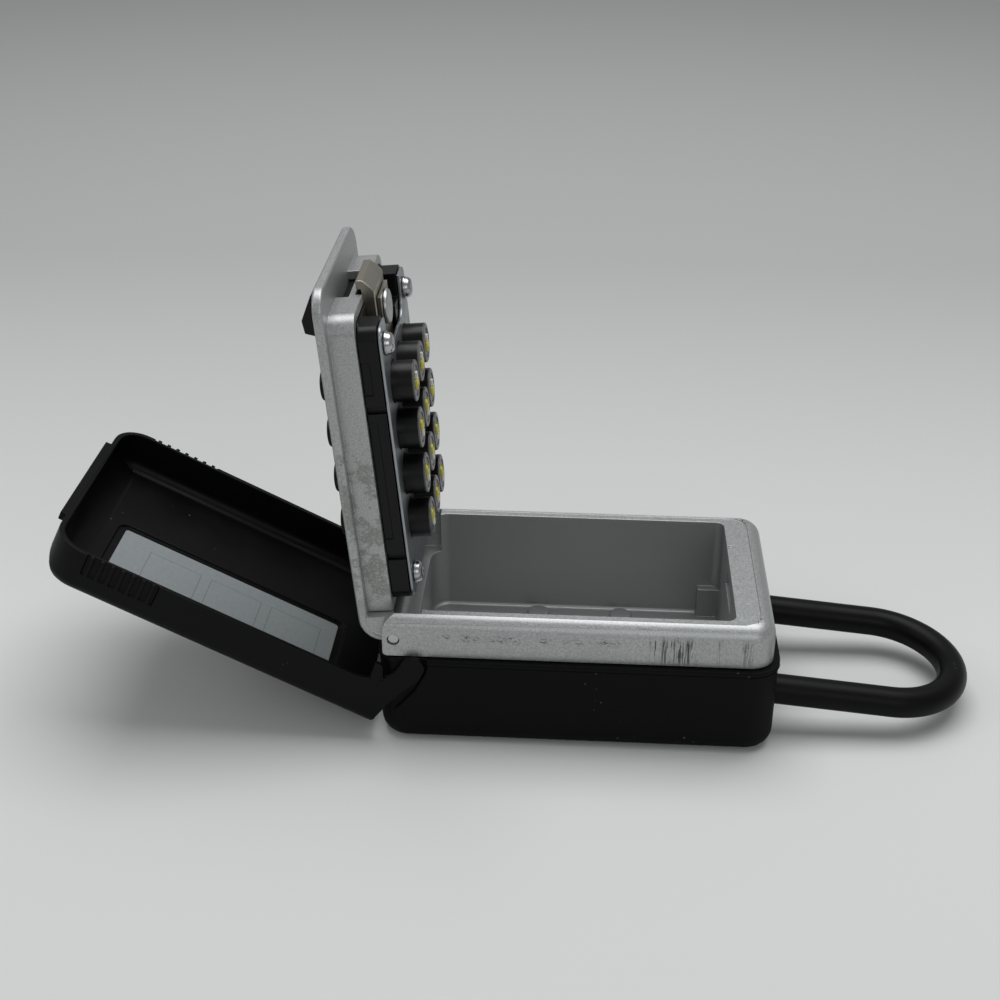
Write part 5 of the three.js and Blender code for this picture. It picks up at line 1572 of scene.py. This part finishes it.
def build_bolt(levels):
    latch, fits = levels.latch, levels.fits
    low, tip_low = levels.bolt_under, latch.tip - latch.chamfer
    hook = latch.top + latch.hook_height
    outline = [(latch.rear, low), (tip_low, low)]
    nose = NOSE_SHARE * latch.chamfer
    outline += curve((tip_low, low), (latch.tip - nose, low + nose), (latch.tip, low + latch.chamfer), 6)
    outline += [(latch.tip, hook), (latch.tip - latch.hook_length, hook),
                (latch.tip - latch.hook_length, latch.top), (latch.rear, latch.top)]
    middle = (latch.top + low) / 2
    bolt = cut(drawn(outline, -latch.half, latch.half),
               rod(latch.rivet_shank + fits.seat, latch.rivet_along, 0, low - fits.over,
                   latch.top + fits.over, sides=SMALL_SIDES),
               rod(latch.spring_bore, 0, middle, latch.rear - fits.over, latch.rear + latch.spring_depth,
                   'X', SMALL_SIDES))
    place(bolt, "bolt_block", levels.lid_place(), "nickel", "latch", "nickel", "latch_bolt",
          edge=fits.bolt_edge)
    under = levels.gate_under - fits.seat
    head, thick = latch.rivet_head, latch.rivet_thickness
    profile = [(LEAST, under - thick)]
    profile += [(head * across, under - thick * deep) for across, deep in RIVET_SHARES]
    flat, skirt = head * RIVET_FLAT_SHARE, thick * RIVET_SKIRT_SHARE
    for i in range(6):
        angle = math.pi * 0.5 * (i + 1) / 6
        profile.append((flat + (head - flat) * math.sin(angle),
                        under - skirt - (thick - skirt) * math.cos(angle)))
    profile += [(head, under), (latch.rivet_shank, under), (latch.rivet_shank, latch.rivet_top),
                (LEAST, latch.rivet_top)]
    rivet = turned(profile, latch.rivet_along, 0)
    place(rivet, "bolt_rivet", levels.lid_place(), "rivet", "latch", "screw_steel", "latch_rivet")


def build_levers(levels):
    latch, lid, fits = levels.latch, levels.lid, levels.fits
    crest = lid.top + latch.lever_proud
    outline = [
        (latch.lever_start, lid.top + fits.seat), (latch.lever_end, lid.top + fits.seat),
        (latch.lever_end, lid.top + latch.lever_base), (latch.lever_crest, crest),
        (latch.lever_rise + latch.lever_base, crest - latch.lever_base / 2),
        (latch.lever_rise, lid.top + latch.lever_base + fits.seat),
        (latch.lever_start, lid.top + latch.lever_base)]
    levers = (
        ("open_thumb_lever", "open_lever", "latch", -latch.lever_across,
         -latch.lever_across - latch.foot_half, latch.foot_half, True),
        ("clear_thumb_lever", "clear_lever", "clear_lever", latch.lever_across,
         latch.lever_across - latch.foot_half, latch.lever_across + latch.foot_half, False),
    )
    for name, node, body, off, foot_from, foot_to, has_eye in levers:
        thumb = drawn(outline, off - latch.lever_half, off + latch.lever_half)
        foot_low = latch.foot_top - latch.foot_thickness
        stem = block(latch.stem_start, latch.stem_start + latch.stem_length, off - latch.stem_half,
                     off + latch.stem_half, foot_low, lid.top + latch.lever_base)
        foot = block(latch.rivet_along - latch.foot_half_length, latch.stem_start + latch.stem_length,
                     foot_from, foot_to, foot_low, latch.foot_top)
        lever = join(thumb, stem, foot)
        if has_eye:
            cut(lever, rod(latch.rivet_shank + fits.seat, latch.rivet_along, 0, foot_low - fits.over,
                           latch.foot_top + fits.over, sides=SMALL_SIDES))
        place(lever, name, levels.lid_place(), "case", body, "lock_plastic", node, edge=fits.moulded_edge)


# Cover, drawn shut in the body's own coordinates

def cover_box(levels, end, half, top, corner, long_edge, nose):
    width = levels.vault.width
    shell = slab(oblong(-width, end, half, corner), -width, top, 0.0, long_edge)
    side = [(-2 * width, -2 * width), (end, -2 * width)] + arc(end - nose, top - nose, nose, 0.0, 0.5)
    side.append((-2 * width, top))
    return common(shell, drawn(side, -width, width))


def cover_side(levels):
    cover, fits = levels.cover, levels.fits
    x, z, arm = cover.pivot_x, cover.pivot_z, cover.arm_radius
    edge, top, over = levels.cover_edge, levels.cover_outside, fits.over
    outline = [(levels.cover_end + over, edge), (levels.cover_end + over, top + over),
               (cover.heel_x + cover.heel_drop, top + over), (cover.heel_x + cover.heel_drop, top)]
    outline += curve(outline[-1], (cover.heel_x, top), (cover.heel_x, top - cover.heel_drop))
    outline += curve(outline[-1], (cover.heel_x - cover.heel_drop / 2, z + 3 * arm), (x - arm, z + arm))
    outline += arc(x, z, arm, 1.0, 2.0, 16)
    outline += curve(outline[-1], (x + arm, edge - fits.run), (x + cover.arm_blend, edge), 14)
    return outline


def card_plan(levels, margin):
    cover = levels.cover
    middle = cover.label_far - cover.label_width / 2
    points = plan_points(
        cover.label_start - margin, cover.label_start + cover.label_length + margin,
        cover.label_width / 2 + margin, cover.label_corner + margin)
    return [(x, y + middle) for x, y in points]


def rib_tree(levels, depth, last):
    cover = levels.cover
    tree = Tree("Grip ribs", {
        "Count": cover.rib_count, "Pitch": cover.rib_pitch, "Width": cover.rib_width,
        "Length": cover.rib_length, "Depth": depth,
        "Side Distance": levels.cover_outer_half + cover.rib_proud - depth / 2, "Last": last,
        "Level": levels.cover_edge}, "cover")
    width, length, depth = tree.size("Width"), tree.size("Length"), tree.size("Depth")
    rib = tree.node('GeometryNodeMeshCube', Size=tree.vector(width, depth, length)).outputs[0]
    count = tree.size("Count")
    run = tree.size("Pitch") * (count - 1.0)
    across = tree.size("Side Distance") * 2.0
    grid = tree.on_grid(rib, count, 2, run, across)
    tree.close(tree.shifted(grid, tree.size("Last") + run * 0.5, 0.0, tree.size("Level") + length * 0.5))
    return tree


def build_cover(levels):
    cover, fits = levels.cover, levels.fits
    width, over = levels.vault.width, fits.over
    outer = cover_box(levels, levels.cover_end, levels.cover_outer_half, levels.cover_outside, cover.corner,
                      cover.long_edge, cover.nose)
    inner = cover_box(levels, levels.cover_inner_end, levels.cover_inner_half, levels.cover_inside,
                      cover.corner - cover.wall, cover.inner_edge, cover.inner_nose)
    behind = block(-2 * width, cover.floor_start, -levels.cover_inner_half, levels.cover_inner_half,
                   -width, levels.cover_outside + width)
    stock = cut(outer, inner, behind)
    stock = common(stock, drawn(cover_side(levels), -width, width))
    recess = drawn(card_plan(levels, cover.label_margin), levels.cover_inside - over,
                   levels.cover_inside + cover.recess, 'Z')
    first = levels.cover_end - cover.rib_from_end
    last = first - (cover.rib_count - 1) * cover.rib_pitch
    grips = []
    for side in (-1, 1):
        grips.append(block(
            last - cover.rib_pitch / 2, first + cover.rib_pitch / 2,
            *on_side(side, levels.cover_outer_half - cover.grip_depth, levels.cover_outer_half + over),
            levels.cover_edge - over, levels.cover_edge + cover.rib_length))
    stock = cut(stock, recess, *grips)
    lip = block(levels.cover_inner_end, levels.cover_end + cover.catch_proud, -cover.catch_half,
                cover.catch_half, levels.cover_edge, levels.cover_edge + cover.catch_height)
    inside = levels.cover_inner_half
    pips = [rod(cover.pip_radius, cover.pivot_x, cover.pivot_z,
                *on_side(side, inside - cover.pip_length, inside + cover.wall / 2), 'Y') for side in (-1, 1)]
    stock = join(stock, lip, *pips)
    place(stock, "cover_shell", levels.cover_place(), "cover", "dust_cover", "cover_plastic", "dust_cover",
          edge=fits.moulded_edge)
    web = [(-cover.web_reach, cover.web_low), (fits.run, cover.web_low), (fits.run, cover.web_high),
           (-cover.web_reach / 2, cover.web_high + cover.wall / 2),
           (-cover.web_reach, cover.web_low + cover.wall)]
    webs = together(*[drawn(web, *on_side(side, inside, levels.cover_outer_half)) for side in (-1, 1)])
    place(webs, "cover_arm_webs", levels.body_place(), "cover", "dust_cover", "cover_plastic",
          "dust_cover", edge=fits.fine)
    depth = cover.grip_depth + cover.rib_proud + fits.seat
    ribs = rib_tree(levels, depth, last).grow()
    place(ribs, "cover_grip_ribs", levels.cover_place(), "cover", "dust_cover", "cover_plastic",
          "dust_cover", edge=fits.fine)
    top = levels.cover_inside + cover.recess - fits.seat
    card = drawn(card_plan(levels, 0.0), top - cover.label_thickness, top, 'Z')
    place(card, "cover_card", levels.cover_place(), "card", "dust_cover", "label", "cover_label",
          edge=fits.card_edge, steps=2)


# Shackle

ROUTE_POINTS = 120
ROUTE_SIDES = 40


def bent_rod_tree(shackle, radius, near_leg, far_leg, finish):
    """A round section carried along one leg, round the bend and back along the other."""
    tree = Tree("Bent rod", {
        "Radius": radius, "Half Spacing": shackle.half_spacing,
        "Bend": shackle.reach - shackle.sleeve - shackle.half_spacing, "Near Leg": near_leg,
        "Far Leg": far_leg, "Points": ROUTE_POINTS, "Sides": ROUTE_SIDES}, finish)
    spacing, bend = tree.size("Half Spacing"), tree.size("Bend")
    near, far = tree.size("Near Leg") + bend, tree.size("Far Leg") + bend
    round_part = spacing * math.pi
    total = near + round_part + far
    straight = tree.line((0.0, 0.0, 0.0), (total, 0.0, 0.0))
    fine = tree.node('GeometryNodeResampleCurve', Curve=straight, Count=tree.size("Points")).outputs[0]
    along = Number(tree.tree, tree.node('GeometryNodeSplineParameter').outputs['Length'])
    angle = ((along - near) / spacing).at_least(0.0).at_most(math.pi)
    before, after = (near - along).at_least(0.0), (along - near - round_part).at_least(0.0)
    x = bend + spacing * angle.sine() - before - after
    y = 0.0 - spacing * angle.cosine()
    route = tree.node('GeometryNodeSetPosition', Geometry=fine, Position=tree.vector(x, y, 0.0)).outputs[0]
    section = tree.node(
        'GeometryNodeCurvePrimitiveCircle', {'mode': 'RADIUS'}, Resolution=tree.size("Sides"),
        Radius=tree.size("Radius")).outputs[0]
    skin = tree.node('GeometryNodeCurveToMesh', Curve=route, Profile_Curve=section, Fill_Caps=True)
    tree.close(skin.outputs[0])
    return tree


def build_shackle(levels):
    shackle, fits = levels.shackle, levels.fits
    sleeve = bent_rod_tree(shackle, shackle.sleeve, shackle.sleeve_gap, shackle.sleeve_gap, "vinyl").grow()
    place(sleeve, "vinyl_sleeve", levels.shackle_place(), "vinyl", "shackle", "vinyl", "shackle_sleeve",
          edge=fits.fine, steps=2, limit=60, smooth=45)
    bar = bent_rod_tree(shackle, shackle.core, shackle.long_leg, shackle.short_leg, "steel").grow()
    edge = -shackle.half_spacing - shackle.core
    thick = shackle.latch_thickness / 2
    notch = block(-shackle.latch_back - thick - shackle.notch_play, -shackle.latch_back + thick + fits.run,
                  edge - fits.over, edge + shackle.latch_bite + fits.seat, -shackle.core, shackle.core)
    cut(bar, notch)
    place(bar, "shackle_rod", levels.shackle_place(), "steel", "shackle", "shaft_steel", "shackle_bar",
          edge=fits.fine, steps=2, limit=50, smooth=45)


def build_springs(levels):
    """Winds each spring along its joint's way and lets it shorten by the joint's travel."""
    lock, latch, shackle, fits = levels.lock, levels.latch, levels.shackle, levels.fits
    wire, lid = latch.spring_wire / 2, levels.lid_place()
    low = levels.chamber_under + fits.seat
    button = levels.flange_top - lock.flange_thickness - fits.seat - low
    springs = []
    for count, (along, off, _) in enumerate(levels.buttons(), 1):
        springs.append((
            f"button_{count:02d}_press", f"button_spring_{count:02d}", "lid",
            lid @ Matrix.Translation((along, off, low)), lock.shaft_radius + latch.spring_gap + wire,
            button, latch.spring_turns, lock.travel))
    thin = latch.spring_bore - fits.run - wire
    along_lid = Matrix.Rotation(math.pi / 2, 4, 'Y')
    bolt_start = Matrix.Translation((latch.rear - latch.travel, 0, (latch.top + levels.bolt_under) / 2))
    springs.append(("latch_slide", "latch_bolt_spring", "lid", lid @ bolt_start @ along_lid, thin,
                    latch.travel + latch.spring_depth - fits.seat, latch.thin_turns, latch.travel))
    clear_start = Matrix.Translation((
        latch.rivet_along - latch.foot_half_length - latch.clear_spring, latch.lever_across,
        latch.foot_top - latch.foot_thickness / 2))
    springs.append(("clear_lever_slide", "clear_lever_spring", "lid", lid @ clear_start @ along_lid, thin,
                    latch.clear_spring - fits.seat, latch.thin_turns, latch.clear_travel))
    near = (-shackle.half_spacing - shackle.core + shackle.latch_bite - shackle.latch_rail
            - shackle.latch_travel - fits.run - shackle.spring_pocket + fits.seat)
    latch_start = Matrix.Translation((-shackle.latch_back, near, 0)) @ Matrix.Rotation(-math.pi / 2, 4, 'X')
    springs.append(("shackle_latch_slide", "shackle_latch_spring", "vault",
                    levels.shackle_place() @ latch_start, shackle.spring_radius - wire,
                    shackle.spring_pocket + shackle.latch_travel + fits.run - 2 * fits.seat,
                    latch.thin_turns, shackle.latch_travel))
    for joint, node, body, matrix, mean, length, turns, travel in springs:
        spring = coil(mean, wire, length, turns)
        place(spring, f"{node}_coil", matrix, "steel", body, "spring_steel", node, smooth=60)
        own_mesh(spring)


def dress_hidden_nodes():
    """Gives the CAD nodes that stay, inside the lock, their metal."""
    metals = {"gate_plate": "nickel", "shackle_latch": "zinc"}
    for name, finish in metals.items():
        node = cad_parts[name]
        for slot in node.material_slots:
            slot.material = FINISHES[finish]


# Stage

SENSOR = 36
FOCAL_SHARE = 1.51594
NEAREST = 0.01
SKY_STRENGTH = 0.33

# Name, place, aim, width, height and power, in metres and watts
LIGHTS = (
    ("overhead_softbox", (0.05, 0.25, 1.1), (0, 0.02, 0), 1.1, 0.8, 10),
    ("front_fill", (0.35, -1.2, 0.7), (0, 0, 0.04), 0.9, 0.6, 2.5),
    ("left_fill", (-1.1, -0.3, 0.8), (0, 0, 0.03), 0.5, 0.6, 1.7),
)


def area_light(name, place_at, target, width, height, power):
    light = bpy.data.lights.new(name, 'AREA')
    light.shape = 'RECTANGLE'
    light.size = width
    light.size_y = height
    light.energy = power
    lamp = bpy.data.objects.new(name, light)
    lamp.location = place_at
    lamp.rotation_euler = (Vector(target) - Vector(place_at)).to_track_quat('-Z', 'Y').to_euler()
    bpy.context.scene.collection.objects.link(lamp)


def build_stage(levels):
    stage = levels.stage
    reach = stage.floor_reach
    floor = form([(-reach, -reach, 0), (reach, -reach, 0), (reach, reach, 0), (-reach, reach, 0)],
                 [(0, 1, 2, 3)])
    floor.name = "studio_floor"
    floor.data.materials.append(FINISHES["floor"])
    camera = bpy.data.cameras.new("photo_camera")
    camera.sensor_width = SENSOR
    camera.lens = FOCAL_SHARE * SENSOR
    camera.clip_start = NEAREST
    view = bpy.data.objects.new("photo_camera", camera)
    turn = Matrix.Rotation(stage.camera_turn, 4, 'Z')
    dip = Matrix.Rotation(math.pi / 2 - stage.camera_dip, 4, 'X')
    roll = Matrix.Rotation(stage.camera_roll, 4, 'Z')
    at = Matrix.Translation((stage.camera_x, stage.camera_y, stage.camera_z))
    view.matrix_world = at @ turn @ dip @ roll
    bpy.context.scene.collection.objects.link(view)
    bpy.context.scene.camera = view
    world = bpy.data.worlds.new("soft_studio")
    bpy.context.scene.world = world
    world.use_nodes = True
    back = world.node_tree.nodes['Background']
    back.inputs['Color'].default_value = tuple(levels.colours.sky)
    back.inputs['Strength'].default_value = SKY_STRENGTH
    for light in LIGHTS:
        area_light(*light)
    bpy.context.scene.view_settings.view_transform = 'Standard'


# Operators and panel

class KEYBOX_OT_vault(bpy.types.Operator):
    """Make the silver vault with its floor bosses and hinge pin"""
    bl_idname = "keybox.vault"
    bl_label = "Vault"

    def execute(self, context):
        build_vault(Levels(context.scene))
        return {'FINISHED'}


class KEYBOX_OT_jacket(bpy.types.Operator):
    """Make the soft black jacket"""
    bl_idname = "keybox.jacket"
    bl_label = "Jacket"

    def execute(self, context):
        build_jacket(Levels(context.scene))
        return {'FINISHED'}


class KEYBOX_OT_lid(bpy.types.Operator):
    """Make the lid's casting"""
    bl_idname = "keybox.lid"
    bl_label = "Lid"

    def execute(self, context):
        build_lid(Levels(context.scene))
        return {'FINISHED'}


class KEYBOX_OT_lock(bpy.types.Operator):
    """Make the lock's case, towers, back plate and screws"""
    bl_idname = "keybox.lock"
    bl_label = "Lock case"

    def execute(self, context):
        levels = Levels(context.scene)
        build_case(levels)
        build_back_plate(levels)
        build_screws(levels)
        return {'FINISHED'}


class KEYBOX_OT_buttons(bpy.types.Operator):
    """Make the push buttons and their code shafts"""
    bl_idname = "keybox.buttons"
    bl_label = "Buttons"

    def execute(self, context):
        levels = Levels(context.scene)
        build_buttons(levels)
        build_code_shafts(levels)
        return {'FINISHED'}


class KEYBOX_OT_latch(bpy.types.Operator):
    """Make the bolt, its rivet and the thumb levers"""
    bl_idname = "keybox.latch"
    bl_label = "Latch"

    def execute(self, context):
        levels = Levels(context.scene)
        build_bolt(levels)
        build_levers(levels)
        return {'FINISHED'}


class KEYBOX_OT_springs(bpy.types.Operator):
    """Make the springs inside the lock and beside the shackle"""
    bl_idname = "keybox.springs"
    bl_label = "Springs"

    def execute(self, context):
        build_springs(Levels(context.scene))
        return {'FINISHED'}


class KEYBOX_OT_cover(bpy.types.Operator):
    """Make the dust cover with its grip ribs and bare card"""
    bl_idname = "keybox.cover"
    bl_label = "Dust cover"

    def execute(self, context):
        build_cover(Levels(context.scene))
        return {'FINISHED'}


class KEYBOX_OT_shackle(bpy.types.Operator):
    """Make the shackle's rod and vinyl sleeve"""
    bl_idname = "keybox.shackle"
    bl_label = "Shackle"

    def execute(self, context):
        build_shackle(Levels(context.scene))
        return {'FINISHED'}


class KEYBOX_OT_finishes(bpy.types.Operator):
    """Make the finishes and give the hidden metal parts theirs"""
    bl_idname = "keybox.finishes"
    bl_label = "Finishes"

    def execute(self, context):
        make_finishes(Levels(context.scene))
        dress_hidden_nodes()
        return {'FINISHED'}


class KEYBOX_OT_stage(bpy.types.Operator):
    """Set the floor, the camera and the soft lights"""
    bl_idname = "keybox.stage"
    bl_label = "Stage"

    def execute(self, context):
        build_stage(Levels(context.scene))
        return {'FINISHED'}


OPERATORS = (
    KEYBOX_OT_finishes, KEYBOX_OT_stage, KEYBOX_OT_vault, KEYBOX_OT_jacket, KEYBOX_OT_lid, KEYBOX_OT_lock,
    KEYBOX_OT_buttons, KEYBOX_OT_latch, KEYBOX_OT_cover, KEYBOX_OT_shackle, KEYBOX_OT_springs,
)


class KEYBOX_PT_panel(bpy.types.Panel):
    """Steps that build the key box, in order"""
    bl_idname = "KEYBOX_PT_panel"
    bl_label = "Key box"
    bl_space_type = 'VIEW_3D'
    bl_region_type = 'UI'
    bl_category = "Key box"

    def draw(self, context):
        for operator in OPERATORS:
            self.layout.operator(operator.bl_idname)


def register():
    for name, group in GROUPS.items():
        bpy.utils.register_class(group)
        setattr(bpy.types.Scene, name, PointerProperty(type=group))
    for operator in OPERATORS:
        bpy.utils.register_class(operator)
    bpy.utils.register_class(KEYBOX_PT_panel)


def unregister():
    bpy.utils.unregister_class(KEYBOX_PT_panel)
    for operator in reversed(OPERATORS):
        bpy.utils.unregister_class(operator)
    for name, group in GROUPS.items():
        delattr(bpy.types.Scene, name)
        bpy.utils.unregister_class(group)


def main():
    register()
    for step in (
            bpy.ops.keybox.finishes, bpy.ops.keybox.stage, bpy.ops.keybox.vault, bpy.ops.keybox.jacket,
            bpy.ops.keybox.lid, bpy.ops.keybox.lock, bpy.ops.keybox.buttons, bpy.ops.keybox.latch,
            bpy.ops.keybox.cover, bpy.ops.keybox.shackle, bpy.ops.keybox.springs):
        step()
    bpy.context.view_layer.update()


if __name__ == "__main__":
    main()
